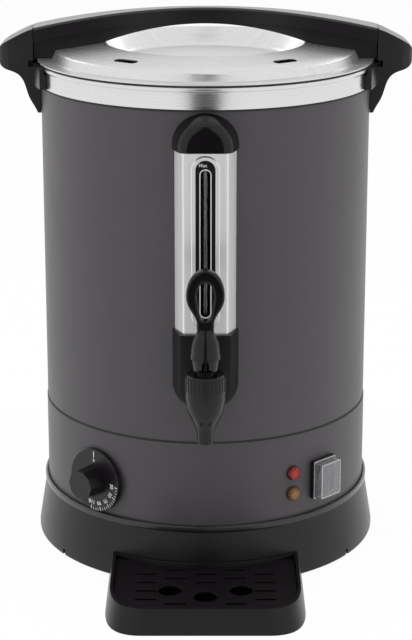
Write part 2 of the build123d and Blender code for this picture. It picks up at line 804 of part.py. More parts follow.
# Tap body: chamber, tapered spout and the shank through housing, shell and vessel
shank_end = vessel_r - washer_t - nut_t - 4
with BuildPart() as tap_body:
    with BuildSketch(tap_plane):
        with BuildLine():
            Polyline((0, body_top), (body_r, body_top), (body_r, tap_z + 6))
            Spline(
                (body_r, tap_z + 6),
                (body_r - 0.8, tap_z - 0.5),
                (body_r - 3.1, tap_z - 8.6),
                (spout_tip_r + 2.1, tip_z + 13.3),
                (spout_tip_r + 0.3, tip_z + 5.1),
                (spout_tip_r, tip_z),
            )
            Polyline((spout_tip_r, tip_z), (0, tip_z), (0, body_top))
        make_face()
    revolve(axis=tap_axis)
    with BuildSketch(facing(0, shank_end, tap_z)):
        Circle(shank_r)
    extrude(amount=-tap_y - shank_end)
    with BuildSketch(facing(0, -housing_y + loose, tap_z)):
        Circle(collar_r)
    extrude(amount=collar_t)
    with BuildSketch(Plane.XY.offset(seat_z)):
        with Locations((0, tap_y)):
            Circle(chamber_r)
    extrude(amount=body_top - seat_z, mode=Mode.SUBTRACT)
    with BuildSketch(Plane.XY.offset(tip_z)):
        with Locations((0, tap_y)):
            Circle(spout_bore_r)
    extrude(amount=seat_z - tip_z, mode=Mode.SUBTRACT)
    with BuildSketch(facing(0, shank_end, tap_z)):
        Circle(shank_bore_r)
    extrude(amount=-tap_y - shank_end, mode=Mode.SUBTRACT)
    with BuildSketch(Plane.XY.offset(tap_z)):
        with Locations((0, tube_y)):
            Circle(tube_r - tube_wall)
    extrude(amount=shank_r, mode=Mode.SUBTRACT)
tap_body.part.label = "tap_body"
export_step(tap_body.part, "parts/tap_body.step")

# Washers inside and outside the vessel, and the nut that clamps them
washer_sag = vessel_r - sqrt(vessel_r**2 - washer_r**2)
with BuildPart() as tap_washers:
    for start in (vessel_r - washer_sag - loose - washer_t, vessel_r + vessel_t + loose):
        with BuildSketch(facing(0, start, tap_z)):
            Circle(washer_r)
            Circle(shank_r + loose, mode=Mode.SUBTRACT)
        extrude(amount=washer_t)
tap_washers.part.label = "tap_washers"
export_step(tap_washers.part, "parts/tap_washers.step")

with BuildPart() as tap_nut:
    with BuildSketch(facing(0, vessel_r - washer_sag - loose - washer_t, tap_z)):
        RegularPolygon(nut_across / 2, 6, major_radius=False)
        Circle(shank_r + running, mode=Mode.SUBTRACT)
    extrude(amount=-nut_t)
tap_nut.part.label = "tap_nut"
export_step(tap_nut.part, "parts/tap_nut.step")

# Bonnet: the ribbed cap on the chamber, with the stem's guide and the boss under the lever
with BuildPart() as tap_bonnet:
    with BuildSketch(Plane.XY.offset(body_top)):
        with Locations((0, tap_y)):
            Circle(bonnet_r)
            with PolarLocations(bonnet_r + 0.3, bonnet_ribs):
                Circle(0.8, mode=Mode.SUBTRACT)
    extrude(amount=bonnet_h - 1.5)
    with BuildSketch(Plane.XY.offset(bonnet_top - 1.5)):
        with Locations((0, tap_y)):
            Circle(bonnet_r - 0.6)
    extrude(amount=1.5, taper=40)
    with BuildSketch(Plane.XY.offset(bonnet_top)):
        with Locations((0, tap_y)):
            Circle(bonnet_boss_r)
    extrude(amount=bonnet_boss_h)
    with BuildSketch(Plane.XY.offset(tap_z + shank_bore_r + 0.5)):
        with Locations((0, tap_y)):
            Circle(chamber_r - 2 * loose)
    extrude(amount=body_up - shank_bore_r - 0.5)
    with BuildSketch(Plane.XY.offset(tap_z)):
        with Locations((0, tap_y)):
            Circle(spring_room_r)
    extrude(amount=bonnet_top - 2.5 - tap_z, mode=Mode.SUBTRACT)
    with BuildSketch(Plane.XY.offset(tap_z)):
        with Locations((0, tap_y)):
            Circle(stem_r + running)
    extrude(amount=boss_top - tap_z, mode=Mode.SUBTRACT)
tap_bonnet.part.label = "tap_bonnet"
export_step(tap_bonnet.part, "parts/tap_bonnet.step")

# Stem: a rod with a collar for the spring and a flat, round-ended eye for the lever's pin
cup_low = seat_z + rest_gap
cup_high = cup_low + cup_h
collar_low = cup_high + loose
tongue_low = boss_top - cam_gain * radians(lever_range) - 1.5
with BuildPart() as tap_stem:
    with BuildSketch(Plane.XY.offset(cup_low + 2)):
        with Locations((0, tap_y)):
            Circle(stem_r)
    extrude(amount=pin_z + stem_r - cup_low - 2)
    with BuildSketch(Plane.XY.offset(collar_low)):
        with Locations((0, tap_y)):
            Circle(cup_r)
    extrude(amount=1.5)
    with BuildSketch(Plane.XY.offset(tongue_low)):
        with Locations((tongue_half_t + 2, tap_y), (-tongue_half_t - 2, tap_y)):
            Rectangle(4, 2 * stem_r + 2)
    extrude(amount=full_length, mode=Mode.SUBTRACT)
    with BuildSketch(Plane.YZ):
        with Locations((tap_y, pin_z + stem_r)):
            Rectangle(4 * stem_r, 2 * stem_r)
        with Locations((tap_y, pin_z)):
            Circle(stem_r, mode=Mode.SUBTRACT)
            Circle(lever_pin_r + running)
    extrude(amount=stem_r + 1, both=True, mode=Mode.SUBTRACT)
tap_stem.part.label = "tap_stem"
export_step(tap_stem.part, "parts/tap_stem.step")

# Seat cup: the silicone plug on the stem's foot
with BuildPart() as tap_seat_cup:
    with BuildSketch(Plane.XY.offset(cup_low)):
        with Locations((0, tap_y)):
            Circle(cup_r)
    extrude(amount=cup_h)
    fillet(edges().group_by(Axis.Z)[-1], radius=2.0)
    with BuildSketch(Plane.XY.offset(cup_low + 2 - loose)):
        with Locations((0, tap_y)):
            Circle(stem_r + running)
    extrude(amount=cup_h, mode=Mode.SUBTRACT)
tap_seat_cup.part.label = "tap_seat_cup"
export_step(tap_seat_cup.part, "parts/tap_seat_cup.step")

# Spring: a coil between the stem's collar and the bonnet
spring_low = collar_low + 1.5 + rest_gap + wire_r
spring_high = bonnet_top - 2.5 - rest_gap - wire_r
spring_mean_r = (stem_r + spring_room_r) / 2
with BuildPart() as tap_spring:
    with BuildLine():
        coil = Helix(
            pitch=(spring_high - spring_low) / spring_turns,
            height=spring_high - spring_low,
            radius=spring_mean_r,
            center=(0, tap_y, spring_low),
        )
    with BuildSketch(Plane(origin=coil @ 0, z_dir=coil % 0)):
        Circle(wire_r)
    sweep(path=coil, is_frenet=True)
tap_spring.part.label = "tap_spring"
export_step(tap_spring.part, "parts/tap_spring.step")


def cam_point(tilt):
    """A point of the cam, as forward and up from the pin, that touches the boss at this tilt."""
    reach = cam_height + cam_gain * tilt
    forward = reach * sin(tilt) + cam_gain * cos(tilt)
    up = -reach * cos(tilt) + cam_gain * sin(tilt)
    return forward, up


# Lever foot: a forked cone, cut below to the cam that lifts the pin evenly with the tilt
cam_steps = 8
with BuildPart() as lever_foot:
    with BuildSketch(tap_plane):
        with BuildLine():
            Polyline(
                (0, lever_low),
                (foot_low_r, lever_low),
                (foot_high_r, lever_low + foot_h),
                (0, lever_low + foot_h),
                close=True,
            )
        make_face()
    revolve(axis=tap_axis)
    with BuildSketch(Plane.YZ):
        tilts = [radians(lever_range) * step / cam_steps for step in range(cam_steps + 1)]
        curve = [cam_point(tilt) for tilt in tilts]
        flank = [(tap_y - forward, pin_z + up) for forward, up in curve]
        with BuildLine():
            Spline(*flank)
            Polyline(
                flank[-1],
                (flank[-1][0] - 4, flank[-1][1] + 4),
                (flank[-1][0] - 4, pin_z + 20),
                (tap_y + 20, pin_z + 20),
                (tap_y + 20, lever_low),
                flank[0],
            )
        make_face()
    extrude(amount=foot_high_r + 5, both=True, mode=Mode.INTERSECT)
    with BuildSketch(Plane.XZ.offset(-tap_y - stem_r - swing_gap)):
        with Locations((0, pin_z)):
            Rectangle(fork_w, 2 * (stem_r + swing_gap))
        with Locations((0, pin_z - cam_height)):
            Rectangle(fork_w, 2 * cam_height)
    extrude(amount=20, mode=Mode.SUBTRACT)
    with BuildSketch(Plane.YZ):
        with Locations((tap_y, pin_z)):
            Circle(lever_pin_r + loose / 5)
    extrude(amount=foot_high_r + 5, both=True, mode=Mode.SUBTRACT)

# Lever loop: a flat teardrop ring with rounded edges
with BuildPart() as lever_loop:
    with BuildSketch(Plane.XZ.offset(-tap_y - loop_t / 2)):
        with BuildLine():
            top = EllipticalCenterArc(
                (0, lever_low + loop_wide_h), loop_half_w, lever_h - loop_wide_h, start_angle=0, arc_size=90
            )
            right = Spline(
                top @ 0,
                (loop_half_w * 0.77, lever_low + loop_wide_h - 10.4),
                (neck_half_w + 0.6, lever_low + neck_h + 6.5),
                (neck_half_w, lever_low + neck_h),
                tangents=((0, -1), (0, -1)),
            )
            Line(right @ 1, (neck_half_w - 0.5, lever_low + neck_h - 6))
            Line((neck_half_w - 0.5, lever_low + neck_h - 6), (0, lever_low + neck_h - 6))
            mirror(about=Plane.YZ)
        make_face()
        with BuildLine():
            EllipticalCenterArc(
                (0, lever_low + loop_wide_h), hole_half_w, hole_high_h - loop_wide_h, start_angle=0, arc_size=90
            )
            Spline(
                (hole_half_w, lever_low + loop_wide_h),
                (hole_half_w * 0.72, lever_low + hole_low_h + 6),
                (0, lever_low + hole_low_h),
                tangents=((0, -1), (-1, 0)),
            )
            mirror(about=Plane.YZ)
        make_face(mode=Mode.SUBTRACT)
    extrude(amount=loop_t)
    rims = edges().group_by(Axis.Y)[0] + edges().group_by(Axis.Y)[-1]
    fillet(rims.filter_by(GeomType.LINE, reverse=True), radius=loop_round)

# Tap lever: the loop on a bell-shaped skirt, with the forked foot under it
with BuildPart() as tap_lever:
    add(lever_foot.part)
    add(lever_loop.part)
    bell_low = lever_low + foot_h
    with BuildSketch(tap_plane):
        with BuildLine():
            Polyline((0, bell_low), (bell_r, bell_low), (bell_r, bell_low + bell_ring_h))
            Spline(
                (bell_r, bell_low + bell_ring_h),
                (bell_r - 1.9, bell_low + 13.5),
                (neck_half_w - 0.2, lever_low + neck_h - 1),
                tangents=((-0.2, 1), (0, 1)),
            )
            Polyline((neck_half_w - 0.2, lever_low + neck_h - 1), (0, lever_low + neck_h), (0, bell_low))
        make_face()
    revolve(axis=tap_axis)
tap_lever.part.label = "tap_lever"
export_step(tap_lever.part, "parts/tap_lever.step")

with BuildPart() as tap_lever_pin:
    with BuildSketch(Plane.YZ):
        with Locations((tap_y, pin_z)):
            Circle(lever_pin_r)
    extrude(amount=lever_pin_half, both=True)
tap_lever_pin.part.label = "tap_lever_pin"
export_step(tap_lever_pin.part, "parts/tap_lever_pin.step")

# ============================================================ lid

# Gasket: a flat ring under the lid's flange with a lip inside the vessel's mouth
with BuildPart() as lid_gasket:
    with BuildSketch(Plane.XZ):
        lip_r = vessel_r - swing_gap
        with BuildLine():
            Polyline(
                (lip_r - 1.4, gasket_high),
                (lip_r - 1.4, gasket_high - gasket_lip),
                (lip_r - 0.6, gasket_high - gasket_lip),
                (lip_r, gasket_high - gasket_lip + 1),
                (lip_r, gasket_low),
                (pan_flange_r - 0.8, gasket_low),
                (pan_flange_r - 0.8, gasket_high),
                close=True,
            )
        make_face()
    revolve(axis=Axis.Z)
lid_gasket.part.label = "lid_gasket"
export_step(lid_gasket.part, "parts/lid_gasket.step")

# Lid pan: one pressed sheet with a flange, a shoulder, a sloping ring and a sunk dish
with BuildPart() as lid_pan:
    with BuildSketch(Plane.XZ):
        with BuildLine():
            FilletPolyline(
                (0, dish_z),
                (dish_floor_r, dish_z),
                (dish_r - 2, ring_z),
                (pan_shoulder_r + 1, shoulder_z),
                (pan_wall_r + 0.8, flange_top),
                (pan_flange_r, flange_top),
                radius=[6, 1.6, 2.5, 0.6],
            )
            offset(amount=pan_t, side=Side.RIGHT)
        make_face()
    revolve(axis=Axis.Z)
    with BuildSketch(Plane.XY.offset(dish_z)):
        with PolarLocations(pan_wall_r - vent_in, 2, start_angle=vent_angle - 90, angular_range=-2 * vent_angle, endpoint=True):
            SlotOverall(vent_length, vent_w, rotation=90)
    extrude(amount=ring_z - dish_z + 5, mode=Mode.SUBTRACT)
    with BuildSketch(Plane.XY.offset(dish_z)):
        with Locations((lid_screw_x, 0), (-lid_screw_x, 0)):
            Circle(lid_screw_r + screw_play)
    extrude(amount=ring_z - dish_z + 5, mode=Mode.SUBTRACT)
lid_pan.part.label = "lid_pan"
export_step(lid_pan.part, "parts/lid_pan.step")


def arch_plan(inset):
    """The arch from above: narrow at the crown and wide at both ends."""
    stations = (0, arch_end_r / 2, arch_end_r - 18, arch_end_r + 4)
    half = [(x, width - inset) for x, width in zip(stations, arch_half_w)]
    with BuildSketch() as plan:
        with BuildLine():
            Spline(*half, tangents=((1, 0), (1, 0.05)))
            Line(half[-1], (half[-1][0], 0))
            mirror(about=Plane.XZ)
            mirror(about=Plane.YZ)
        make_face()
    return plan.sketch


full_plan = arch_plan(0)
web_plan = arch_plan(arch_web_inset)

# Arch web: the deep middle of the lid handle, with its feet down to the lid
with BuildPart() as arch_web:
    with BuildSketch(Plane.XZ):
        web_top = arch_top - arch_band_h / 2
        web_end_z = arch_end_z - arch_band_h / 2
        with BuildLine():
            crown = ThreePointArc((-arch_end_r, web_end_z), (0, web_top), (arch_end_r, web_end_z))
            Polyline(
                crown @ 1,
                (arch_end_r, flange_top + loose),
                (arch_spring_x, flange_top + loose),
                (arch_spring_x, ring_z - 0.2),
            )
            ThreePointArc(
                (arch_spring_x, ring_z - 0.2),
                (0, arch_top - arch_thickness),
                (-arch_spring_x, ring_z - 0.2),
            )
            Polyline(
                (-arch_spring_x, ring_z - 0.2),
                (-arch_spring_x, flange_top + loose),
                (-arch_end_r, flange_top + loose),
                crown @ 0,
            )
        make_face()
    extrude(amount=30, both=True)
    with BuildSketch(Plane.XY.offset(dish_z)):
        add(web_plan)
    extrude(amount=full_length, mode=Mode.INTERSECT)

# Arch band: the wider crown that the hand holds
with BuildPart() as arch_band:
    with BuildSketch(Plane.XZ):
        with BuildLine():
            crown = ThreePointArc((-arch_end_r - 5, arch_end_z - 1), (0, arch_top), (arch_end_r + 5, arch_end_z - 1))
            belly = ThreePointArc(
                (-arch_end_r - 5, arch_end_z - 1 - arch_band_h),
                (0, arch_top - arch_band_h),
                (arch_end_r + 5, arch_end_z - 1 - arch_band_h),
            )
            Line(crown @ 0, belly @ 0)
            Line(crown @ 1, belly @ 1)
        make_face()
    extrude(amount=30, both=True)
    with BuildSketch(Plane.XY.offset(dish_z)):
        add(full_plan)
    extrude(amount=full_length, mode=Mode.INTERSECT)
    chamfer(faces().sort_by(Axis.Z)[-1].edges().filter_by(lambda e: e.length > arch_end_r), length=arch_chamfer)

# Lid handle: band and web, ended round at the side handles and cut to the lid below
with BuildPart() as lid_handle:
    add(arch_web.part)
    add(arch_band.part)
    with BuildSketch(Plane.XY.offset(dish_z)):
        Circle(arch_end_r)
    extrude(amount=full_length, mode=Mode.INTERSECT)
    with BuildSketch(Plane.XZ):
        with BuildLine():
            Polyline(
                (dish_r - 5, dish_z),
                (dish_r - 5, ring_z + loose),
                (dish_r, ring_z + loose),
                (pan_shoulder_r + 1, shoulder_z + 2 * loose),
                (pan_wall_r + 1.2, flange_top + 1),
                (pan_wall_r + 1.2, flange_top + loose),
                (arch_end_r + 5, flange_top + loose),
                (arch_end_r + 5, dish_z),
                close=True,
            )
        make_face()
    revolve(axis=Axis.Z, mode=Mode.SUBTRACT)
    with BuildSketch(Plane.XY.offset(dish_z)):
        with Locations((lid_screw_x, 0), (-lid_screw_x, 0)):
            Circle(lid_screw_r + running)
    extrude(amount=ring_z - dish_z + 5, mode=Mode.SUBTRACT)
lid_handle.part.label = "lid_handle"
export_step(lid_handle.part, "parts/lid_handle.step")

# Lid screws: up through the pan into the handle's feet
slope = (ring_z - shoulder_z) / (pan_shoulder_r + 1 - dish_r)
screw_seat = ring_z - slope * (lid_screw_x + screw_head_r - dish_r) - pan_t - 3 * loose
with BuildPart() as lid_screws:
    with BuildSketch(Plane.XY.offset(screw_seat - screw_head_h)):
        with Locations((lid_screw_x, 0), (-lid_screw_x, 0)):
            Circle(screw_head_r)
    extrude(amount=screw_head_h)
    with BuildSketch(Plane.XY.offset(screw_seat)):
        with Locations((lid_screw_x, 0), (-lid_screw_x, 0)):
            Circle(lid_screw_r)
    extrude(amount=ring_z + 3 - screw_seat)
lid_screws.part.label = "lid_screws"
export_step(lid_screws.part, "parts/lid_screws.step")

# ============================================================ thermostat

dial_back = panel_r + dial_gap
thermostat_front = sqrt(panel_in_r**2 - (thermostat_w / 2) ** 2) - 2 * loose
bushing_end = dial_back + 1.5
shaft_end = dial_back + dial_t + grip_h - 4

# Thermostat body: a box behind the panel with its bushing through it
with BuildPart() as thermostat_body:
    with BuildSketch(facing(knob_angle, thermostat_front - thermostat_depth, control_z)):
        RectangleRounded(thermostat_w, thermostat_w, 3)
    extrude(amount=thermostat_depth)
    with BuildSketch(facing(knob_angle, thermostat_front, control_z)):
        Circle(bushing_r)
    extrude(amount=bushing_end - thermostat_front)
    with BuildSketch(facing(knob_angle, thermostat_front - thermostat_depth / 2, control_z)):
        Circle(knob_shaft_r + running)
    extrude(amount=full_length, mode=Mode.SUBTRACT)
thermostat_body.part.label = "thermostat_body"
export_step(thermostat_body.part, "parts/thermostat_body.step")

with BuildPart() as thermostat_nut:
    with BuildSketch(facing(knob_angle, panel_r + loose, control_z)):
        RegularPolygon(7, 6, major_radius=False)
        Circle(bushing_r + running, mode=Mode.SUBTRACT)
    extrude(amount=1.8)
thermostat_nut.part.label = "thermostat_nut"
export_step(thermostat_nut.part, "parts/thermostat_nut.step")

# Shaft: a rod with a flat near its outer end
with BuildPart() as thermostat_shaft:
    with BuildSketch(facing(knob_angle, thermostat_front - thermostat_depth / 2 + 1, control_z)):
        Circle(knob_shaft_r)
    extrude(amount=shaft_end - thermostat_front + thermostat_depth / 2 - 1)
    with BuildSketch(facing(knob_angle, bushing_end + 2 * loose, control_z)):
        with Locations((0, 1.5 + knob_shaft_r)):
            Rectangle(4 * knob_shaft_r, 2 * knob_shaft_r)
    extrude(amount=full_length, mode=Mode.SUBTRACT)
thermostat_shaft.part.label = "thermostat_shaft"
export_step(thermostat_shaft.part, "parts/thermostat_shaft.step")

# Knob: a thin dial with a ten-sided grip on it, hollowed behind for the nut
with BuildPart() as thermostat_knob:
    with BuildSketch(facing(knob_angle, dial_back, control_z)):
        Circle(dial_r)
    extrude(amount=dial_t)
    chamfer(edges().filter_by(GeomType.CIRCLE).sort_by_distance(facing(knob_angle, 2 * panel_r, control_z).origin)[0], length=0.8)
    with BuildSketch(facing(knob_angle, dial_back + dial_t, control_z)):
        RegularPolygon(grip_r, grip_sides)
    extrude(amount=grip_h, taper=2)
    with BuildSketch(facing(knob_angle, dial_back, control_z)):
        Circle(9)
    extrude(amount=1.9, mode=Mode.SUBTRACT)
    with BuildSketch(facing(knob_angle, dial_back, control_z)):
        Circle(knob_shaft_r + loose / 5)
        with Locations((0, 1.5 + loose / 5 + knob_shaft_r)):
            Rectangle(4 * knob_shaft_r, 2 * knob_shaft_r, mode=Mode.SUBTRACT)
    extrude(amount=shaft_end - dial_back + loose, mode=Mode.SUBTRACT)
thermostat_knob.part.label = "thermostat_knob"
export_step(thermostat_knob.part, "parts/thermostat_knob.step")

# Bulb and capillary: from the thermostat to the underside of the heater plate
bulb_z = vessel_under - heater_t - bulb_r - loose
inward = facing(knob_angle, 1, 0).z_dir
body_back = thermostat_front - thermostat_depth - loose
bulb_reach = 25.0
with BuildPart() as thermostat_bulb:
    with BuildLine():
        start = inward * body_back + Vector(0, 0, control_z)
        turn_low = inward * (bulb_reach + 8) + Vector(0, 0, control_z)
        turn_high = inward * (bulb_reach + 8) + Vector(0, 0, bulb_z)
        tail = inward * bulb_reach + Vector(0, 0, bulb_z)
        line = FilletPolyline(start, turn_low, turn_high, tail, radius=6)
    with BuildSketch(Plane(origin=line @ 0, z_dir=line % 0)):
        Circle(capillary_r)
    sweep(path=line)
    with BuildSketch(facing(knob_angle, bulb_reach, bulb_z)):
        Circle(bulb_r)
    extrude(amount=-2 * bulb_reach)
thermostat_bulb.part.label = "thermostat_bulb"
export_step(thermostat_bulb.part, "parts/thermostat_bulb.step")

# ============================================================ lamps and switch

with BuildPart() as lamp_bodies:
    for height in lamp_heights:
        with BuildSketch(facing(lamp_angle, panel_r - lamp_body_length, height)):
            Circle(lamp_body_r)
        extrude(amount=lamp_body_length)
        with BuildSketch(facing(lamp_angle, sqrt(panel_in_r**2 - lamp_nut_r**2) - loose, height)):
            Circle(lamp_nut_r)
        extrude(amount=-3)
lamp_bodies.part.label = "lamp_bodies"
export_step(lamp_bodies.part, "parts/lamp_bodies.step")

with BuildPart() as lamp_lens_red:
    with BuildSketch(facing(lamp_angle, panel_r + loose, lamp_heights[0])):
        Circle(lens_r)
    extrude(amount=lens_h)
    fillet(edges().filter_by(GeomType.CIRCLE).sort_by(Axis.Y)[0], radius=lens_h * 0.7)
lamp_lens_red.part.label = "lamp_lens_red"
export_step(lamp_lens_red.part, "parts/lamp_lens_red.step")

with BuildPart() as lamp_lens_amber:
    with BuildSketch(facing(lamp_angle, panel_r + loose, lamp_heights[1])):
        Circle(lens_r)
    extrude(amount=lens_h)
    fillet(edges().filter_by(GeomType.CIRCLE).sort_by(Axis.Y)[0], radius=lens_h * 0.7)
lamp_lens_amber.part.label = "lamp_lens_amber"
export_step(lamp_lens_amber.part, "parts/lamp_lens_amber.step")

# Switch bezel: the frame on the panel with the switch's body behind it
bezel_back = panel_r + loose
rocker_pivot = panel_r - rocker_pivot_in
well_half_h = rocker_half_h + 1.6
with BuildPart() as switch_bezel:
    with BuildSketch(facing(switch_angle, bezel_back, control_z)):
        RectangleRounded(bezel_w, bezel_h, 2)
    extrude(amount=bezel_t)
    with BuildSketch(facing(switch_angle, bezel_back, control_z)):
        Rectangle(switch_body_w, switch_body_h)
    extrude(amount=-switch_depth)
    with BuildSketch(facing(switch_angle, rocker_pivot - 6, control_z)):
        Rectangle(rocker_w + 2 * rocker_side_gap, 2 * well_half_h)
    extrude(amount=full_length, mode=Mode.SUBTRACT)
    with BuildSketch(facing(switch_angle + 90, 0, control_z)):
        with Locations((-rocker_pivot, 0)):
            Circle(rocker_pin_r + running)
    extrude(amount=rocker_w / 2 + 1.6, both=True, mode=Mode.SUBTRACT)
switch_bezel.part.label = "switch_bezel"
export_step(switch_bezel.part, "parts/switch_bezel.step")

# Rocker: a shallow V on two stub pins, drawn with its lower half pressed in
edge_out = rocker_crown + rocker_half_h * sin(radians(rocker_tilt))
with BuildPart() as switch_rocker:
    with BuildSketch(facing(switch_angle + 90, 0, control_z)):
        with Locations(Location((-rocker_pivot, 0), rocker_tilt)):
            Polygon(
                (-rocker_crown, 0),
                (-edge_out, rocker_half_h),
                (2, rocker_half_h - 3),
                (2, 3 - rocker_half_h),
                (-edge_out, -rocker_half_h),
                align=None,
            )
    extrude(amount=rocker_w / 2, both=True)
    with BuildSketch(facing(switch_angle + 90, 0, control_z)):
        with Locations((-rocker_pivot, 0)):
            Circle(rocker_pin_r)
    extrude(amount=rocker_w / 2 + 1.3, both=True)
switch_rocker.part.label = "switch_rocker"
export_step(switch_rocker.part, "parts/switch_rocker.step")

# Switch cover: a clear splash box over the rocker
with BuildPart() as switch_cover:
    with BuildSketch(facing(switch_angle, bezel_back + bezel_t, control_z)):
        RectangleRounded(cover_box_w, cover_box_h, 2)
    extrude(amount=cover_box_out, taper=4)
    with BuildSketch(facing(switch_angle, bezel_back + bezel_t, control_z)):
        RectangleRounded(cover_box_w - 2 * cover_box_t, cover_box_h - 2 * cover_box_t, 1.2)
    extrude(amount=cover_box_out - cover_box_t, taper=4, mode=Mode.SUBTRACT)
switch_cover.part.label = "switch_cover"
export_step(switch_cover.part, "parts/switch_cover.step")

# ============================================================ heater and electrics

with BuildPart() as heater_plate:
    with BuildSketch(Plane.XY.offset(vessel_under)):
        Circle(heater_r)
    extrude(amount=-heater_t)
heater_plate.part.label = "heater_plate"
export_step(heater_plate.part, "parts/heater_plate.step")

# Heating element: a horseshoe tube under the plate with a terminal post at each end
element_z = vessel_under - heater_t - element_tube_r - running
with BuildPart() as heater_element:
    with BuildSketch(Plane.XZ):
        with Locations((element_r, element_z)):
            Circle(element_tube_r)
    revolve(axis=Axis.Z, revolution_arc=360 - element_gap_angle)
    for turn in (0, -element_gap_angle):
        end = (element_r * cos(radians(turn)), element_r * sin(radians(turn)))
        with BuildSketch(Plane.XY.offset(element_z + element_tube_r)):
            with Locations(end):
                Circle(element_end_r)
        extrude(amount=-element_drop)
heater_element.part.label = "heater_element"
export_step(heater_element.part, "parts/heater_element.step")

# Thermal cut-out on the bottom plate, with its reset button through the plate
with BuildPart() as thermal_cutout:
    with BuildSketch(Plane.XY.offset(plate_top)):
        with Locations((cutout_x, cutout_y)):
            Circle(cutout_r)
    extrude(amount=cutout_h)
    with BuildSketch(Plane.XY.offset(plate_top)):
        with Locations((cutout_x, cutout_y)):
            Circle(button_r + running)
    extrude(amount=cutout_h / 2 + button_travel, mode=Mode.SUBTRACT)
thermal_cutout.part.label = "thermal_cutout"
export_step(thermal_cutout.part, "parts/thermal_cutout.step")

with BuildPart() as reset_button:
    with BuildSketch(Plane.XY.offset(base_floor_z - button_out)):
        with Locations((cutout_x, cutout_y)):
            Circle(button_r)
    extrude(amount=button_out + plate_t + cutout_h / 2 - rest_gap)
reset_button.part.label = "reset_button"
export_step(reset_button.part, "parts/reset_button.step")

with BuildPart() as terminal_block:
    with BuildSketch(Plane.XY.offset(plate_top)):
        with Locations((0, terminal_y)):
            Rectangle(terminal_w, terminal_d)
    extrude(amount=terminal_h)
    with BuildSketch(Plane.XY.offset(plate_top + terminal_h)):
        with Locations((0, terminal_y)):
            with GridLocations(terminal_w / 4, terminal_d / 2, 4, 2):
                Circle(2.2)
    extrude(amount=-terminal_h / 2, mode=Mode.SUBTRACT)
terminal_block.part.label = "terminal_block"
export_step(terminal_block.part, "parts/terminal_block.step")

# ============================================================ drip tray

tray_front_y = -(base_foot_r + tray_front)
tray_gap = swing_gap


def tray_outline(inset):
    """The tray from above: a straight front, large elliptical corners and straight sides."""
    half = tray_half_w - inset
    front = tray_front_y + inset
    side_end = (half, front + tray_corner_d)
    with BuildSketch() as outline:
        with BuildLine():
            Line((0, front), (half - tray_corner_w, front))
            Spline((half - tray_corner_w, front), side_end, tangents=((1, 0), (0, 1)))
            Line(side_end, (half, -base_foot_r / 2))
            Line((half, -base_foot_r / 2), (0, -base_foot_r / 2))
            mirror(about=Plane.YZ)
        make_face()
    return outline.sketch


rim_inset = tray_draft + tray_wall
foot_shape = tray_outline(0)
edge_shape = tray_outline(tray_draft)
rim_shape = tray_outline(rim_inset)
well_shape = tray_outline(rim_inset + grate_ledge)
grate_shape = tray_outline(rim_inset + grate_play)
grate_low = tray_h - grate_down - grate_t

with BuildPart() as tray_rim_space:
    with BuildSketch(Plane.XY.offset(grate_low)):
        add(rim_shape)
    extrude(amount=tray_h)
    add(skirt_block(tray_gap + tray_wall), mode=Mode.SUBTRACT)

with BuildPart() as tray_well_space:
    with BuildSketch(Plane.XY.offset(tray_floor)):
        add(well_shape)
    extrude(amount=tray_h)
    add(skirt_block(tray_gap + tray_wall + grate_ledge), mode=Mode.SUBTRACT)

# Drip tray: a drafted tub whose back follows the base ring, with a ledge for the grate
with BuildPart() as drip_tray:
    with BuildSketch():
        add(foot_shape)
    with BuildSketch(Plane.XY.offset(tray_h)):
        add(edge_shape)
    loft()
    add(skirt_block(tray_gap), mode=Mode.SUBTRACT)
    add(tray_rim_space.part, mode=Mode.SUBTRACT)
    add(tray_well_space.part, mode=Mode.SUBTRACT)
drip_tray.part.label = "drip_tray"
export_step(drip_tray.part, "parts/drip_tray.step")

# Drip grate: a lift-out plate with three round holes among rows of short slots
hole_row = tray_front_y + hole_row_in
drip_holes = [(side * hole_pitch, hole_row + hole_stagger * (abs(side) - 0.4)) for side in (-1, 0, 1)]
slot_spots = [
    (slot_pitch_x * column, tray_front_y + 12 + slot_pitch_y * row)
    for row in range(10)
    for column in range(-3, 4)
    if (row + column) % 2 == 0
]


def free_of_holes(x, y):
    """Whether a slot of the grate is clear of the drip holes and of the plate's edges."""
    clear = all(
        abs(x - hx) > slot_length / 2 + drip_hole_r or abs(y - hy) > drip_hole_r + slot_w
        for hx, hy in drip_holes
    )
    behind = hypot(abs(x) + slot_length / 2, y) > base_foot_r + tray_wall + 5
    corner = abs(x) < 2.5 * slot_pitch_x and (abs(x) < slot_pitch_x * 1.5 or y > tray_front_y + corner_rows)
    return clear and behind and corner


slot_spots = [(x, y) for x, y in slot_spots if free_of_holes(x, y)]
with BuildPart() as drip_grate:
    with BuildSketch(Plane.XY.offset(grate_low + rest_gap)):
        add(grate_shape)
        with Locations(*drip_holes):
            Circle(drip_hole_r, mode=Mode.SUBTRACT)
        with Locations(*slot_spots):
            SlotOverall(slot_length, slot_w, mode=Mode.SUBTRACT)
    extrude(amount=grate_t)
    add(skirt_block(tray_gap + tray_wall + grate_play), mode=Mode.SUBTRACT)
drip_grate.part.label = "drip_grate"
export_step(drip_grate.part, "parts/drip_grate.step")
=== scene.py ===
# %% [markdown]
# # A hot water urn
# An urn like this boils a tank of water and pours it through a tap at the front. Its solids come
# from the CAD model, piece by piece and at their real size, so this lesson is about what CAD
# leaves out: paint, brushed steel, moulded plastic, the printed marks, the light and the camera.
# Everything is in metres, the tap faces -Y and the floor is at Z = 0.

from math import cos, radians, sin

import bmesh
import bpy
from mathutils import Matrix, Vector


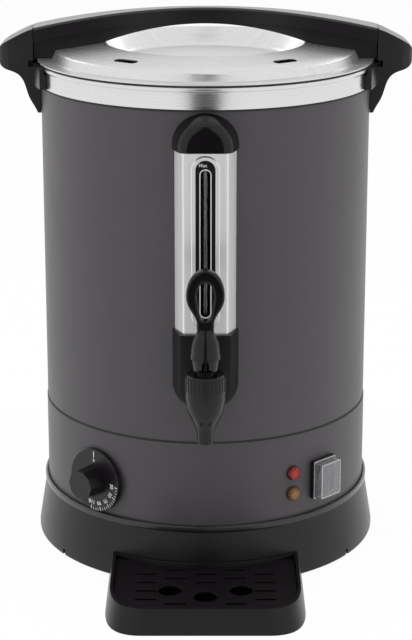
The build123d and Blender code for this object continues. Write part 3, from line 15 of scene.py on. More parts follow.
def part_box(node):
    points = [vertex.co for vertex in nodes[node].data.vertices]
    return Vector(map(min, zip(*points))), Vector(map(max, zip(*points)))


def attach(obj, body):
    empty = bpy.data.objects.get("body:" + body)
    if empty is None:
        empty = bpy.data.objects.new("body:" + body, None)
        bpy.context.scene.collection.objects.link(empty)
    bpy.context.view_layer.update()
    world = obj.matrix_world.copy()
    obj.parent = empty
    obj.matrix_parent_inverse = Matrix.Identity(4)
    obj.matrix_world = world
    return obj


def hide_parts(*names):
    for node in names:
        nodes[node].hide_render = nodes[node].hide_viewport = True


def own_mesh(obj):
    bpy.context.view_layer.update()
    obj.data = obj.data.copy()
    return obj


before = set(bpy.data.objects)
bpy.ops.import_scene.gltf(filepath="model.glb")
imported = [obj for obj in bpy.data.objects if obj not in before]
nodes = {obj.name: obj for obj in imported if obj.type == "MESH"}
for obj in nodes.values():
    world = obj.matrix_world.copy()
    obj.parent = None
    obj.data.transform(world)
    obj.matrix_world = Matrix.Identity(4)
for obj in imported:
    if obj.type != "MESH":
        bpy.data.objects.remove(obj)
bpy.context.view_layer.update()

# %% [markdown]
# ## The camera
# A long lens from a metre and a half away keeps the tall body nearly straight, and a height above
# the lid shows the dish, the arch of the handle and the drip tray in one view. The picture is
# upright, so the sensor's width lies along its height, and the lens follows from the focal length
# in pixels. A small downward shift of the lens makes the sides converge less, as it does on a view
# camera.

# %% Camera
picture_height = 640
focal_pixels = 1896
camera_distance = 1.5
camera_height = 0.6357
camera_pitch = 15.15
camera_aside = 0.0004
lens_shift = -0.1

camera_data = bpy.data.cameras.new("camera")
camera_data.sensor_width = 36
camera_data.lens = focal_pixels * camera_data.sensor_width / picture_height
camera_data.shift_y = lens_shift
camera = bpy.data.objects.new("camera", camera_data)
camera.location = (camera_aside, -camera_distance, camera_height)
camera.rotation_euler = (radians(90 - camera_pitch), 0, 0)
bpy.context.scene.collection.objects.link(camera)
bpy.context.scene.camera = camera
print("lens", round(camera_data.lens, 1))

# %% [markdown]
# ## A small kit for materials
# Every finish below is a Principled shader with a few nodes in front of it. These helpers add a
# node and join it to the next one, so that each material reads as a short list of steps. All the
# patterns read Object coordinates, which are metres here, so a noise scale of 1000 has cells of
# about a millimetre.

# %% Node helpers


class Finish:
    """A material with one Principled shader and the nodes that feed it."""

    def __init__(self, name, color, roughness, metallic=0.0):
        self.material = bpy.data.materials.new(name)
        self.material.use_nodes = True
        self.tree = self.material.node_tree
        self.shader = self.tree.nodes["Principled BSDF"]
        self.set("Base Color", (*color, 1))
        self.set("Roughness", roughness)
        self.set("Metallic", metallic)

    def set(self, socket, value):
        self.shader.inputs[socket].default_value = value

    def node(self, kind, **values):
        made = self.tree.nodes.new(kind)
        for key, value in values.items():
            setattr(made, key, value)
        return made

    def link(self, source, target):
        self.tree.links.new(source, target)

    def place(self, scale, start=(0, 0, 0)):
        """Object coordinates from a start, stretched by a scale along each axis."""
        mapping = self.node("ShaderNodeMapping")
        mapping.inputs["Location"].default_value = [-s * k for s, k in zip(start, scale)]
        mapping.inputs["Scale"].default_value = scale
        self.link(self.node("ShaderNodeTexCoord").outputs["Object"], mapping.inputs["Vector"])
        return mapping.outputs["Vector"]

    def noise(self, scale, detail=2.0, stretch=(1, 1, 1)):
        made = self.node("ShaderNodeTexNoise")
        made.inputs["Scale"].default_value = scale
        made.inputs["Detail"].default_value = detail
        self.link(self.place(stretch), made.inputs["Vector"])
        return made.outputs["Fac"]

    def between(self, value, low, high, start=0.0, end=1.0):
        """A value from start to end, laid out between low and high."""
        made = self.node("ShaderNodeMapRange")
        made.inputs["From Min"].default_value = start
        made.inputs["From Max"].default_value = end
        made.inputs["To Min"].default_value = low
        made.inputs["To Max"].default_value = high
        self.link(value, made.inputs["Value"])
        return made.outputs["Result"]

    def shades(self, value, dark, light):
        """A colour between two shades."""
        made = self.node("ShaderNodeMix", data_type="RGBA")
        made.inputs["A"].default_value = (*dark, 1)
        made.inputs["B"].default_value = (*light, 1)
        self.link(value, made.inputs["Factor"])
        return made.outputs["Result"]

    def bump(self, height, depth, strength=1.0, under=None):
        made = self.node("ShaderNodeBump")
        made.inputs["Strength"].default_value = strength
        made.inputs["Distance"].default_value = depth
        self.link(height, made.inputs["Height"])
        if under is not None:
            self.link(under, made.inputs["Normal"])
        return made.outputs["Normal"]

    def soft_edge(self, radius):
        """A rounded look along sharp edges, as a mould or a press leaves them."""
        made = self.node("ShaderNodeBevel", samples=4)
        made.inputs["Radius"].default_value = radius
        return made.outputs["Normal"]

    def feed(self, socket, value):
        self.link(value, self.shader.inputs[socket])


print("helpers ready")

# %% [markdown]
# ## Powder coat
# The shell and the panel are steel with a dark grey powder coat. Baked powder has a faint orange
# peel, so a fine noise bends the reflections a little, and a slow noise keeps the gloss from being
# the same all over. The colour itself hardly changes, because powder lies even.

# %% Powder coat
powder_coat = Finish("dark_grey_powder_coat", (0.049, 0.0445, 0.049), 0.42)
powder_coat.set("Specular IOR Level", 0.5)
powder_coat.set("Sheen Weight", 0.06)
powder_coat.set("Sheen Roughness", 0.3)
peel_depth = 0.00006
powder_coat.feed("Normal", powder_coat.bump(powder_coat.noise(900, 3), peel_depth, 0.5))
powder_coat.feed("Roughness", powder_coat.between(powder_coat.noise(14, 4), 0.36, 0.48))
powder_coat.feed(
    "Base Color",
    powder_coat.shades(powder_coat.noise(60, 5), (0.045, 0.0405, 0.045), (0.053, 0.048, 0.053)),
)
print(powder_coat.material.name)

# %% [markdown]
# ## Brushed steel
# Brushing leaves fine parallel scratches. A noise that is stretched a hundred times or more along
# the brushing direction gives them, and it drives bump, roughness and shade together. The rim
# band is brushed round the body, the lid straight across and the gauge cover up and down, so one
# function makes all three, and only the stretch differs. The hardware is steel too, but not
# brushed, so its noise is even.

# %% Brushed steel
scratch_depth = 0.00002


def brushed_steel(
    name, along, across=None, color=(0.6, 0.59, 0.6), rough=(0.22, 0.34), strength=0.2
):
    """Steel with scratches that run where along is small, in noise cells per metre.

    Light spreads across the scratches, so the tangent points that way."""
    steel = Finish(name, color, 0.3, metallic=1.0)
    scratches = steel.noise(1, 4, along)
    broad = steel.noise(0.25, 3, along)
    darker = tuple(0.9 * channel for channel in color)
    steel.feed("Base Color", steel.shades(broad, darker, tuple(1.06 * c for c in color)))
    steel.feed("Roughness", steel.between(scratches, *rough, 0.25, 0.75))
    steel.feed("Normal", steel.bump(scratches, scratch_depth, strength))
    if across is not None:
        steel.set("Anisotropic", 0.8)
        direction = steel.node("ShaderNodeCombineXYZ")
        for axis, share in zip("XYZ", across):
            direction.inputs[axis].default_value = share
        steel.feed("Tangent", direction.outputs["Vector"])
    return steel


bright_steel = (0.76, 0.75, 0.76)
pale_steel = (0.88, 0.87, 0.88)
lid_steel = brushed_steel(
    "lid_steel_straight_brushed",
    along=(9, 1500, 9),
    across=(0, 1, 0),
    color=bright_steel,
    rough=(0.25, 0.31),
    strength=0.08,
)
band_steel = brushed_steel(
    "rim_steel_brushed_round", along=(5, 5, 2600), across=(0, 0, 1), color=bright_steel
)
cover_steel = brushed_steel(
    "gauge_cover_steel_brushed",
    along=(2400, 40, 7),
    across=(1, 0, 0),
    color=pale_steel,
    rough=(0.36, 0.44),
)
print(lid_steel.material.name, band_steel.material.name, cover_steel.material.name)

# %% [markdown]
# ## Moulded plastic
# The base, the handles and the tray are one black plastic with a fine grain from the mould, and
# the tap and the gauge cap are the same plastic from a polished mould. A mould has no knife edges,
# so a small soft edge catches the light along each corner. The lip of the base stands out from
# the body, and the cloth that wipes the seam above it has polished it, so the clear coat of the
# base gets stronger from the foot of the lip upwards.

# %% Black plastic


def black_plastic(name, shade, rough, grain, edge, gloss=0.3):
    """Black plastic: its shade, how rough, how deep its grain and how round its edges."""
    plastic = Finish(name, (shade, shade * 0.75, shade), rough)
    plastic.set("Specular IOR Level", gloss)
    edge_normal = plastic.soft_edge(edge)
    plastic.feed("Normal", plastic.bump(plastic.noise(1600, 2), grain, 0.6, under=edge_normal))
    plastic.feed("Roughness", plastic.between(plastic.noise(40, 4), rough * 0.88, rough * 1.14))
    return plastic


satin_black = black_plastic("satin_black_plastic", 0.0055, 0.34, 0.00003, 0.0007)
gloss_black = black_plastic("gloss_black_plastic", 0.004, 0.2, 0.00001, 0.0005, gloss=0.32)
tray_black = black_plastic("tray_black_plastic", 0.004, 0.34, 0.00003, 0.0006)
knob_black = black_plastic("knob_black_plastic", 0.006, 0.3, 0.00001, 0.0004, gloss=0.4)
handle_black = black_plastic("handle_black_plastic", 0.007, 0.3, 0.00002, 0.001)
handle_black.set("Coat Weight", 0.45)
handle_black.set("Coat Roughness", 0.16)
ear_black = black_plastic("side_handle_black_plastic", 0.007, 0.34, 0.00002, 0.001)
ear_black.set("Coat Weight", 0.15)
ear_black.set("Coat Roughness", 0.2)
base_black = black_plastic("base_black_plastic", 0.005, 0.33, 0.00003, 0.0015)
base_black.set("Coat Roughness", 0.25)
polish_from, polish_to = 0.0425, 0.0440
dull, polished = 0.1, 0.7
up = base_black.node("ShaderNodeSeparateXYZ")
base_black.link(base_black.place((1, 1, 1)), up.inputs["Vector"])
polish = base_black.between(up.outputs["Z"], dull, polished, polish_from, polish_to)
base_black.feed("Coat Weight", polish)
print("seven black plastics")

# %% [markdown]
# ## The small finishes
# Rubber seals, silicone, plain steel hardware and the parts of the heater and the thermostat. Each
# gets at least one pattern at its real scale, because a single flat colour looks like a toy close
# up.

# %% Rubber, silicone, hardware and heater finishes
rubber = Finish("seal_rubber", (0.012, 0.012, 0.012), 0.7)
rubber.feed("Normal", rubber.bump(rubber.noise(1200, 2), 0.00005, 0.6))
rubber.feed("Roughness", rubber.between(rubber.noise(90, 3), 0.6, 0.8))

silicone = Finish("white_silicone", (0.62, 0.6, 0.56), 0.5)
silicone.set("Subsurface Weight", 0.15)
silicone.set("Subsurface Radius", (0.002, 0.0015, 0.001))
silicone.feed("Roughness", silicone.between(silicone.noise(300, 3), 0.42, 0.58))

inner_steel = brushed_steel("hardware_steel", (700, 700, 700), rough=(0.28, 0.4))

aluminium = Finish("cast_aluminium", (0.6, 0.6, 0.61), 0.45, metallic=1.0)
aluminium.feed("Normal", aluminium.bump(aluminium.noise(500, 4), 0.00012, 0.6))
aluminium.feed("Roughness", aluminium.between(aluminium.noise(60, 3), 0.36, 0.55))

copper = Finish("copper", (0.62, 0.31, 0.19), 0.35, metallic=1.0)
copper.feed(
    "Base Color", copper.shades(copper.noise(120, 4), (0.42, 0.19, 0.11), (0.68, 0.36, 0.23))
)

ceramic = Finish("white_ceramic", (0.7, 0.69, 0.66), 0.35)
ceramic.feed("Normal", ceramic.bump(ceramic.noise(700, 3), 0.00005, 0.5))
ceramic.feed("Roughness", ceramic.between(ceramic.noise(80, 3), 0.28, 0.45))
print("six small finishes")

# %% [markdown]
# ## What light passes through, and the print
# The tube is glass with a thin film of scale inside, so its roughness varies. The splash cover is
# soft clear plastic, a little frosted, with rounded edges. A lamp's lens has small prisms that
# spread the light of the neon behind it: cells bend its front. The neon's light itself is painted:
# a ball of brighter colour in the middle is a painted glow, and the colour falls to painted shade
# towards the rim.

# %% Glass, clear cover, lenses and print
tube_glass = Finish("gauge_tube_glass", (0.93, 0.95, 0.95), 0.04)
tube_glass.set("Transmission Weight", 1.0)
tube_glass.set("IOR", 1.47)
tube_glass.feed("Roughness", tube_glass.between(tube_glass.noise(70, 3), 0.02, 0.07))

clear_cover = Finish("frosted_soft_cover", (0.8, 0.79, 0.81), 0.2)
clear_cover.set("Transmission Weight", 0.9)
clear_cover.set("IOR", 1.42)
cover_edge = clear_cover.soft_edge(0.0007)
clear_cover.feed("Roughness", clear_cover.between(clear_cover.noise(260, 3), 0.12, 0.26))
cover_haze = clear_cover.bump(clear_cover.noise(420, 3), 0.0002, 0.6, under=cover_edge)
clear_cover.feed("Normal", cover_haze)
painted_glow_scale = 125  # the ball of colour has a radius of one over this, in metres
prisms_per_metre = 620
prism_depth = 0.0008


def middle(name):
    """The middle of a node's box."""
    low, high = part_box(name)
    return (Vector(low) + Vector(high)) / 2


def lamp_lens(name, node, color, deep):
    """A coloured lens with small prisms, a painted glow of the neon in its middle and painted
    shade towards its rim.
    """
    lens = Finish(name, color, 0.12)
    lens.set("Specular IOR Level", 0.3)
    lens.set("Coat Weight", 0.25)
    lens.set("Coat Roughness", 0.06)
    lens.set("Transmission Weight", 0.1)
    # Painted light: a ball of brighter colour round the lens's middle is a painted glow of the
    # neon, and the colour falls to painted shade towards the rim.
    ball = lens.node("ShaderNodeTexGradient", gradient_type="SPHERICAL")
    lens.link(lens.place((painted_glow_scale,) * 3, start=middle(node)), ball.inputs["Vector"])
    cells = lens.node("ShaderNodeTexVoronoi")
    cells.inputs["Scale"].default_value = prisms_per_metre
    lens.link(lens.place((1, 1, 1)), cells.inputs["Vector"])
    glow = lens.between(ball.outputs["Fac"], 0, 1, 0.25, 0.7)
    lens.feed("Base Color", lens.shades(glow, deep, color))
    lens.feed("Normal", lens.bump(cells.outputs["Distance"], prism_depth, 0.9))
    return lens


# Each lens is given the colour of its painted neon glow first and the colour of its painted rim
# shade second.
red_lens = lamp_lens("red_lens", "lamp_lens_red", (0.5, 0.012, 0.012), (0.06, 0.002, 0.002))
amber_lens = lamp_lens("amber_lens", "lamp_lens_amber", (0.3, 0.13, 0.022), (0.07, 0.022, 0.004))

white_print = Finish("white_print", (0.75, 0.75, 0.75), 0.5)
white_print.feed(
    "Base Color",
    white_print.shades(white_print.noise(2600, 3), (0.62, 0.62, 0.62), (0.82, 0.82, 0.82)),
)
rocker_grey = Finish("rocker_grey_plastic", (0.07, 0.068, 0.072), 0.45)
rocker_grey.feed("Normal", rocker_grey.bump(rocker_grey.noise(900, 2), 0.00006, 0.6))
rocker_grey.feed("Roughness", rocker_grey.between(rocker_grey.noise(120, 3), 0.38, 0.55))
# This grey is a painted highlight: the light that the splash cover's moulded edges catch.
painted_highlight_finish = Finish("cover_painted_highlight", (0.5, 0.495, 0.51), 0.3)
painted_highlight_finish.feed("Roughness", painted_highlight_finish.between(painted_highlight_finish.noise(900, 2), 0.22, 0.4))
print("glass, covers, lenses and print")

# %% [markdown]
# ## Give every CAD piece its finish
# The CAD pieces keep their meshes. Their triangles share no points, so a weld and an edge split,
# both as modifiers, make round faces shade smoothly and leave the real corners sharp.

# %% Finishes on the CAD pieces
finish_of = {
    powder_coat: ["panel_ring", "outer_shell"],
    band_steel: ["inner_vessel"],
    lid_steel: ["lid_pan"],
    cover_steel: ["gauge_cover"],
    base_black: ["base_ring"],
    satin_black: ["tap_housing", "cord_gland"],
    handle_black: ["lid_handle"],
    ear_black: ["handle_left", "handle_right"],
    gloss_black: ["gauge_cap", "tap_body", "tap_bonnet", "tap_stem", "tap_lever"],
    tray_black: ["drip_tray", "drip_grate", "gauge_backing"],
    knob_black: [
        "thermostat_knob",
        "switch_bezel",
        "handle_screws",
        "lid_screws",
        "thermostat_body",
        "thermal_cutout",
        "lamp_bodies",
    ],
    rubber: ["foot_ring", "panel_seal", "rim_seal", "gauge_seals", "lid_gasket"],
    silicone: ["tap_washers", "tap_seat_cup"],
    inner_steel: [
        "vessel_bottom",
        "tie_rods",
        "tie_nuts",
        "bottom_plate",
        "gauge_vent_pipe",
        "tap_nut",
        "tap_spring",
        "tap_lever_pin",
        "thermostat_nut",
        "thermostat_shaft",
        "heater_element",
    ],
    aluminium: ["heater_plate"],
    copper: ["thermostat_bulb"],
    ceramic: ["terminal_block"],
    tube_glass: ["gauge_tube"],
    clear_cover: ["switch_cover"],
    rocker_grey: ["switch_rocker"],
    red_lens: ["lamp_lens_red", "reset_button"],
    amber_lens: ["lamp_lens_amber"],
}

smooth_below = radians(28)
weld_distance = 1e-6
dressed = set()
for finish, names in finish_of.items():
    for name in names:
        piece = nodes[name]
        for material_slot in piece.material_slots:
            material_slot.material = finish.material
        for polygon in piece.data.polygons:
            polygon.use_smooth = True
        weld = piece.modifiers.new("weld", "WELD")
        weld.merge_threshold = weld_distance
        split = piece.modifiers.new("split", "EDGE_SPLIT")
        split.split_angle = smooth_below
        dressed.add(name)
print("dressed", len(dressed), "left over", sorted(set(nodes) - dressed))

# %% [markdown]
# ## The spring of the tap
# The tap's spring stands between its bonnet and the seat cup, and gets shorter as the stem lifts.
# A rigid spring would run into the cup. A copy of its mesh takes its place and rides on the urn's
# body, and the CAD spring is hidden.

# %% A copy of the spring
rigid_spring = nodes["tap_spring"]
coil_mesh = rigid_spring.data.copy()
coil_mesh.transform(rigid_spring.matrix_world)
spring_coil = bpy.data.objects.new("tap_spring_coil", coil_mesh)
bpy.context.scene.collection.objects.link(spring_coil)
coil_weld = spring_coil.modifiers.new("weld", "WELD")
coil_weld.merge_threshold = weld_distance
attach(spring_coil, "urn")
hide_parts("tap_spring")
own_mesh(spring_coil)

# %% [markdown]
# ## Places on the front
# The controls face outwards at an angle to the right of the front. One function gives the frame
# of such a place: its X runs to the right, its Y up and its Z out of the body. The height is read
# off the knob's box. The angles, and how far out each face lies, are those of the CAD model,
# so the marks stay on their pieces.

# %% Places


def facing(angle, radius, height):
    """The frame of a place that faces outwards at an angle to the right of the front."""
    turn = radians(angle)
    across = Vector((cos(turn), sin(turn), 0))
    out = Vector((sin(turn), -cos(turn), 0))
    spot = radius * out + Vector((0, 0, height))
    columns = Matrix((across, Vector((0, 0, 1)), out)).transposed()
    return Matrix.Translation(spot) @ columns.to_4x4()


knob_angle = -40.5
switch_angle = 44.5
control_height = middle("thermostat_knob").z
dial_front = 0.1354
print("controls at", round(control_height, 4))

# %% [markdown]
# ## Printed marks
# Lettering starts as a text curve, becomes a mesh, and is then laid on its place, so that the
# finished piece sits at the origin like every other one. A thickness of a twentieth of a
# millimetre is about what pad printing has, and it also keeps the print from flickering with the
# face under it.

# %% Print helpers
print_depth = 0.00005
letter_weight = 0.02  # how far a letter's outline is pushed out, as a share of its size


def word(text, size, place):
    """A mesh of one word, centred on a place."""
    curve = bpy.data.curves.new(text, "FONT")
    curve.body = text
    curve.size = size
    curve.align_x = "CENTER"
    curve.align_y = "CENTER"
    curve.extrude = print_depth / 2
    curve.offset = size * letter_weight
    curve.resolution_u = 3
    flat = bpy.data.objects.new(text, curve)
    mesh = bpy.data.meshes.new_from_object(flat)
    mesh.transform(place)
    bpy.data.objects.remove(flat)
    return mesh


def stroke(width, length, place):
    """A mesh of one straight mark, centred on a place."""
    made = bmesh.new()
    bmesh.ops.create_cube(made, size=1)
    bmesh.ops.scale(made, vec=(width, length, print_depth), verts=made.verts)
    mesh = bpy.data.meshes.new("stroke")
    made.to_mesh(mesh)
    made.free()
    mesh.transform(place)
    return mesh


def add_piece(name, meshes, finish, body):
    """Add one piece made from several meshes, with its finish, riding on its body."""
    joined = bmesh.new()
    for mesh in meshes:
        joined.from_mesh(mesh)
        bpy.data.meshes.remove(mesh)
    whole = bpy.data.meshes.new(name)
    joined.to_mesh(whole)
    joined.free()
    whole.materials.clear()
    whole.materials.append(finish.material)
    piece = bpy.data.objects.new(name, whole)
    bpy.context.scene.collection.objects.link(piece)
    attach(piece, body)
    print(name, len(whole.polygons), "faces")


print("print is", print_depth, "thick")

# %% [markdown]
# ## The dial's scale
# The dial has an index line and a zero at its top, and a scale of temperatures from its right
# side down past its foot. Each number stands on a radius, with a long tick over it and short
# ticks up to the next one, so one loop over the numbers lays them all out.

# %% The dial's scale
dial_face = facing(knob_angle, dial_front + print_depth, control_height)
scale_start = 92
scale_end = 188
dial_numbers = [30, 50, 70, 90, 110]
ticks_between = 4
index_ring = 0.0215
zero_ring = 0.0165
tick_ring = 0.0235
short_tick_ring = tick_ring + 0.0005
number_ring = 0.0188
index_line = (0.0008, 0.0052)
long_tick = (0.0006, 0.0032)
short_tick = (0.0004, 0.0022)
zero_size = 0.0036
number_size = 0.0044


def on_dial(clock, radius):
    """A place on the dial, at a clockwise angle from its top, turned to stand radially."""
    turn = Matrix.Rotation(radians(-clock), 4, "Z")
    return dial_face @ turn @ Matrix.Translation((0, radius, 0))


marks = [
    stroke(*index_line, on_dial(0, index_ring)),
    word("0", zero_size, on_dial(0, zero_ring)),
]
number_step = (scale_end - scale_start) / (len(dial_numbers) - 1)
for index, number in enumerate(dial_numbers):
    clock = scale_start + index * number_step
    marks.append(stroke(*long_tick, on_dial(clock, tick_ring)))
    marks.append(word(str(number), number_size, on_dial(clock, number_ring)))
    if number < dial_numbers[-1]:
        for part in range(1, ticks_between):
            between = clock + part * number_step / ticks_between
            marks.append(stroke(*short_tick, on_dial(between, short_tick_ring)))
add_piece("dial_scale", marks, white_print, "knob")

# %% [markdown]
# ## The splash cover's painted edge highlights
# The soft cover over the switch is clear, so what the eye sees of it is mostly the light caught by
# its moulded edges. That light is painted: grey strokes make a painted highlight round the front
# face and one round the foot, where it grips the frame. Each is four straight strokes on the
# switch's own place.

# %% Painted highlights on the splash cover's edges
painted_highlight_w = 0.0007
face_radius = 0.1416
face_half = (0.0106, 0.0136)
foot_radius = 0.1346
foot_half = (0.0121, 0.0151)


def bead(half_w, half_h, radius):
    """Four strokes of painted highlight round a rectangle on the switch's place."""
    place = facing(switch_angle, radius + print_depth, control_height)
    sides = []
    for side in (-1, 1):
        sides.append(stroke(painted_highlight_w, 2 * half_h, place @ Matrix.Translation((side * half_w, 0, 0))))
        sides.append(stroke(2 * half_w, painted_highlight_w, place @ Matrix.Translation((0, side * half_h, 0))))
    return sides


# Painted highlights: grey strokes for the light caught along the cover's face and foot.
painted_highlights = bead(*face_half, face_radius) + bead(*foot_half, foot_radius)
add_piece("cover_painted_highlights", painted_highlights, painted_highlight_finish, "urn")

# %% [markdown]
# ## Stops in the side handles, and dark fillers that stand in for shade
# Each side handle has a slot for the lid's lock. A rubber stop fills the middle of the slot, a
# riser reaches from it up to just under the foot of the arch, and a thin rubber shade liner covers
# the face that the arch's end swings along. The stop and the riser are partly real stops and
# partly dark fillers that stand in for shade in the slot and under the arch's foot. The liner is
# only a dark sheet put in the gap at the arch's end, as painted shade. They sit on the fixed body
# and stay clear of the lid, which is why their radius and the riser's top are read off the lid
# handle's box.
# The shade liner is one upright edge, spun a few degrees round the body.

# %% Lock stops and shade liners
arch_low, arch_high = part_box("lid_handle")
arch_end_x = arch_high[0]
swing_gap = 0.0006
slot_centre_z = 0.3913
slot_half_h = 0.0024
stop_half_w = 0.011
stop_in = 0.0021  # how far a stop reaches under the arch
stop_out = 0.0034  # and how deep into the side handle
riser_out = 0.0004
riser_top = min(0.3948, arch_low[2] - 0.0004)
liner_foot = 0.3945
liner_top = 0.4178
liner_half_w = 0.0152
liner_off = 0.00012  # from the side handle's face
liner_steps = 12


def block(low, high):
    """A mesh of one box between two corners."""
    made = bmesh.new()
    bmesh.ops.create_cube(made, size=1)
    size = [end - start for start, end in zip(low, high)]
    centre = [(start + end) / 2 for start, end in zip(low, high)]
    bmesh.ops.scale(made, vec=size, verts=made.verts)
    bmesh.ops.translate(made, vec=centre, verts=made.verts)
    mesh = bpy.data.meshes.new("block")
    made.to_mesh(mesh)
    made.free()
    return mesh


def liner(side):
    """A thin dark curved sheet on the inner face of a side handle, facing the lid, as painted
    shade in the gap.
    """
    made = bmesh.new()
    radius = arch_end_x + swing_gap - liner_off
    half_turn = liner_half_w / radius
    x, y = side * radius * cos(half_turn), -side * radius * sin(half_turn)
    upright = [made.verts.new((x, y, z)) for z in (liner_foot, liner_top)]
    made.edges.new(upright)
    bmesh.ops.spin(
        made,
        geom=made.verts[:] + made.edges[:],
        cent=(0, 0, 0),
        axis=(0, 0, 1),
        angle=2 * half_turn,
        steps=liner_steps,
        use_duplicate=False,
    )
    made.normal_update()
    backwards = [face for face in made.faces if side * face.normal.x > 0]
    bmesh.ops.reverse_faces(made, faces=backwards)
    mesh = bpy.data.meshes.new("liner")
    made.to_mesh(mesh)
    made.free()
    return mesh


# The stop and the riser are rubber stops and also dark fillers. They keep the slot and the space
# under the arch's foot dark, as shade would.
stop_rows = [
    (stop_out, slot_centre_z - slot_half_h, slot_centre_z + slot_half_h),
    (riser_out, slot_centre_z, riser_top),
]
stops = []
for side in (-1, 1):
    for out, low_z, high_z in stop_rows:
        xs = sorted((side * (arch_end_x - stop_in), side * (arch_end_x + out)))
        stops.append(block((xs[0], -stop_half_w, low_z), (xs[1], stop_half_w, high_z)))
    stops.append(liner(side))
add_piece("lock_stops_and_shade_fillers", stops, rubber, "urn")
print("arch end", round(arch_end_x, 4), "arch foot", round(arch_low[2], 4))

# %% [markdown]
# ## The gauge's marks
# Behind the window of the cover lies a black strip with a white line round its slot and the two
# limits, above and below. The line is a rounded slot shape, made from a circle that is cut in two
# and pulled apart, so that its ends stay half circles.

# %% Gauge marks
backing_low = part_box("gauge_backing")[0]
marks_y = backing_low[1] - print_depth
slot_middle = 0.277
slot_reach = 0.05625  # from its middle to either end
line_r = 0.00372
line_w = 0.0008
word_aside = -0.0019
word_size = 0.0036
limits = {"Max": 0.3368, "Min": 0.2180}
circle_steps = 48
tiny = 1e-6


def on_strip(aside, height):
    """A place on the black strip, which faces the front."""
    return Matrix.Translation((aside, marks_y, height)) @ Matrix.Rotation(radians(90), 4, "X")


def slot_line(inner, outer, half, place):
    """A flat ring round a slot: a circle ring whose halves are pulled apart."""
    made = bmesh.new()
    bmesh.ops.create_circle(made, radius=inner, segments=circle_steps)
    rim = bmesh.ops.extrude_edge_only(made, edges=made.edges[:])
    grown = [v for v in rim["geom"] if isinstance(v, bmesh.types.BMVert)]
    bmesh.ops.scale(made, vec=(outer / inner, outer / inner, 1), verts=grown)
    everything = made.verts[:] + made.edges[:] + made.faces[:]
    bmesh.ops.bisect_plane(made, geom=everything, plane_co=(0, 0, 0), plane_no=(0, 1, 0))
    top = [v for v in made.verts if v.co.y > tiny]
    low = [v for v in made.verts if v.co.y < -tiny]
    bmesh.ops.translate(made, vec=(0, half, 0), verts=top)
    bmesh.ops.translate(made, vec=(0, -half, 0), verts=low)
    bmesh.ops.recalc_face_normals(made, faces=made.faces)
    mesh = bpy.data.meshes.new("slot_line")
    made.to_mesh(mesh)
    made.free()
    mesh.transform(place)
    return mesh


slot_place = on_strip(0, slot_middle)
gauge_marks = [slot_line(line_r, line_r + line_w, slot_reach - line_r, slot_place)]
for text, text_z in limits.items():
    gauge_marks.append(word(text, word_size, on_strip(word_aside, text_z)))
add_piece("gauge_print", gauge_marks, white_print, "urn")

# %% [markdown]
# ## The room and the floor
# The floor is white and so is the room, for the eye and for what metal and glass mirror. The
# room's own light on the urn is less than half as strong as that white, and the floor still
# takes a little of the urn's shadow. Light Path tells the two apart: it says whether a ray comes
# from the eye, from a reflection or through glass.

# %% Room and floor
world = bpy.data.worlds.new("room")
bpy.context.scene.world = world
world.use_nodes = True
sky = world.node_tree
for node in list(sky.nodes):
    sky.nodes.remove(node)


def seen_directly(tree):
    """1 for the eye's view, straight, mirrored or through glass, and 0 for diffuse light."""
    path = tree.nodes.new("ShaderNodeLightPath")
    first = tree.nodes.new("ShaderNodeMath")
    first.operation = "MAXIMUM"
    tree.links.new(path.outputs["Is Camera Ray"], first.inputs[0])
    tree.links.new(path.outputs["Is Glossy Ray"], first.inputs[1])
    second = tree.nodes.new("ShaderNodeMath")
    second.operation = "MAXIMUM"
    tree.links.new(first.outputs[0], second.inputs[0])
    tree.links.new(path.outputs["Is Transmission Ray"], second.inputs[1])
    return second.outputs[0]


room_light = 0.45
dim = sky.nodes.new("ShaderNodeBackground")
dim.inputs["Strength"].default_value = room_light
white = sky.nodes.new("ShaderNodeBackground")
white.inputs["Strength"].default_value = 1.0
for background in (dim, white):
    background.inputs["Color"].default_value = (1, 1, 1, 1)
choose = sky.nodes.new("ShaderNodeMixShader")
sky.links.new(seen_directly(sky), choose.inputs[0])
sky.links.new(dim.outputs[0], choose.inputs[1])
sky.links.new(white.outputs[0], choose.inputs[2])
sky.links.new(choose.outputs[0], sky.nodes.new("ShaderNodeOutputWorld").inputs[0])

floor_size = 6  # half its width
floor_white = 0.96  # what the eye sees of the floor is plain white to this share
floor_finish = bpy.data.materials.new("white_floor")
floor_finish.use_nodes = True
boards = floor_finish.node_tree
floor_shader = boards.nodes["Principled BSDF"]
floor_shader.inputs["Base Color"].default_value = (0.85, 0.85, 0.85, 1)
floor_shader.inputs["Roughness"].default_value = 0.9
floor_shader.inputs["Specular IOR Level"].default_value = 0.0
glow = boards.nodes.new("ShaderNodeEmission")
glow.inputs["Strength"].default_value = 1.0
mix = boards.nodes.new("ShaderNodeMixShader")
share = boards.nodes.new("ShaderNodeMath")
share.operation = "MULTIPLY"
share.inputs[1].default_value = floor_white
boards.links.new(seen_directly(boards), share.inputs[0])
boards.links.new(share.outputs[0], mix.inputs[0])
boards.links.new(floor_shader.outputs[0], mix.inputs[1])
boards.links.new(glow.outputs[0], mix.inputs[2])
boards.links.new(mix.outputs[0], boards.nodes["Material Output"].inputs[0])

floor_mesh = bmesh.new()
bmesh.ops.create_grid(floor_mesh, x_segments=1, y_segments=1, size=floor_size)
floor_data = bpy.data.meshes.new("floor")
floor_mesh.to_mesh(floor_data)
floor_mesh.free()
floor_data.materials.append(floor_finish)
floor = bpy.data.objects.new("floor", floor_data)
bpy.context.scene.collection.objects.link(floor)
print("room light", room_light)

# %% [markdown]
# ## The lamps and the dark cards
# Large soft lamps stand on both sides and above, and two small ones behind draw a thin bright
# edge on black plastic. Polished metal needs something dark to mirror as well, or it looks like
# paper, so one dark card lies on the floor in front of the urn and another stands behind the
# eye. The cards show only in reflections.

# %% Lamps and dark cards
middle_height = 0.2


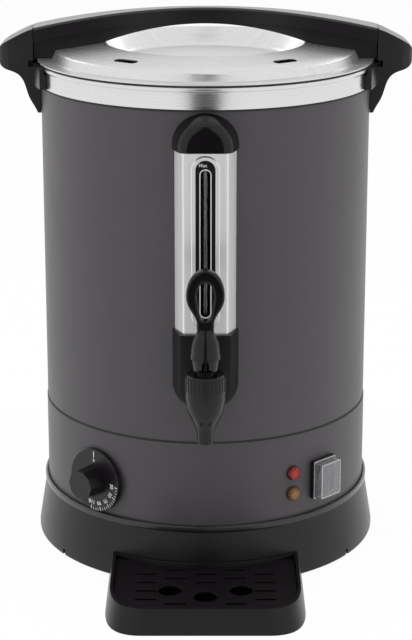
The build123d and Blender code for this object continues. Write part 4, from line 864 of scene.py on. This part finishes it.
def soft_lamp(name, place, size, power, mirrored=False):
    """A square soft lamp that looks at the middle of the urn, and may show in reflections."""
    data = bpy.data.lights.new(name, "AREA")
    data.shape = "SQUARE"
    data.size = size
    data.energy = power
    lamp = bpy.data.objects.new(name, data)
    lamp.location = place
    aim = Vector((0, 0, middle_height)) - Vector(place)
    lamp.rotation_euler = aim.to_track_quat("-Z", "Y").to_euler()
    bpy.context.scene.collection.objects.link(lamp)
    lamp.visible_camera = False
    lamp.visible_glossy = mirrored


soft_lamp("left_lamp", (-1.9, -0.5, 1.1), 1.2, 22)
soft_lamp("right_lamp", (1.9, -0.5, 1.1), 1.2, 18)
soft_lamp("top_lamp", (0, -0.2, 2.2), 1.4, 20)
soft_lamp("back_left_lamp", (-1.0, 1.8, 1.25), 0.8, 4, mirrored=True)
soft_lamp("back_right_lamp", (1.0, 1.8, 1.25), 0.8, 4, mirrored=True)

dark_card = bpy.data.materials.new("dark_card")
dark_card.use_nodes = True
card_shader = dark_card.node_tree.nodes["Principled BSDF"]
card_shader.inputs["Base Color"].default_value = (0.02, 0.02, 0.02, 1)
card_shader.inputs["Specular IOR Level"].default_value = 0.0


def flag(name, width, length, place, tilt):
    """A dark card that shows only in reflections."""
    made = bmesh.new()
    bmesh.ops.create_grid(made, x_segments=1, y_segments=1, size=0.5)
    bmesh.ops.scale(made, vec=(width, length, 1), verts=made.verts)
    data = bpy.data.meshes.new(name)
    made.to_mesh(data)
    made.free()
    data.materials.append(dark_card)
    card = bpy.data.objects.new(name, data)
    card.location = place
    card.rotation_euler = (radians(tilt), 0, 0)
    bpy.context.scene.collection.objects.link(card)
    card.visible_camera = False
    card.visible_diffuse = False
    card.visible_shadow = False
    card.visible_transmission = False


flag("floor_card", 0.5, 1.5, (0, -1.5, 0.002), tilt=0)
flag("front_card", 0.75, 2.5, (0, -2.3, 1.25), tilt=90)
print("lamps and cards")

# %% [markdown]
# ## Settings
# The Standard view keeps a colour as it is written.

# %% Finish
bpy.context.scene.view_settings.view_transform = "Standard"
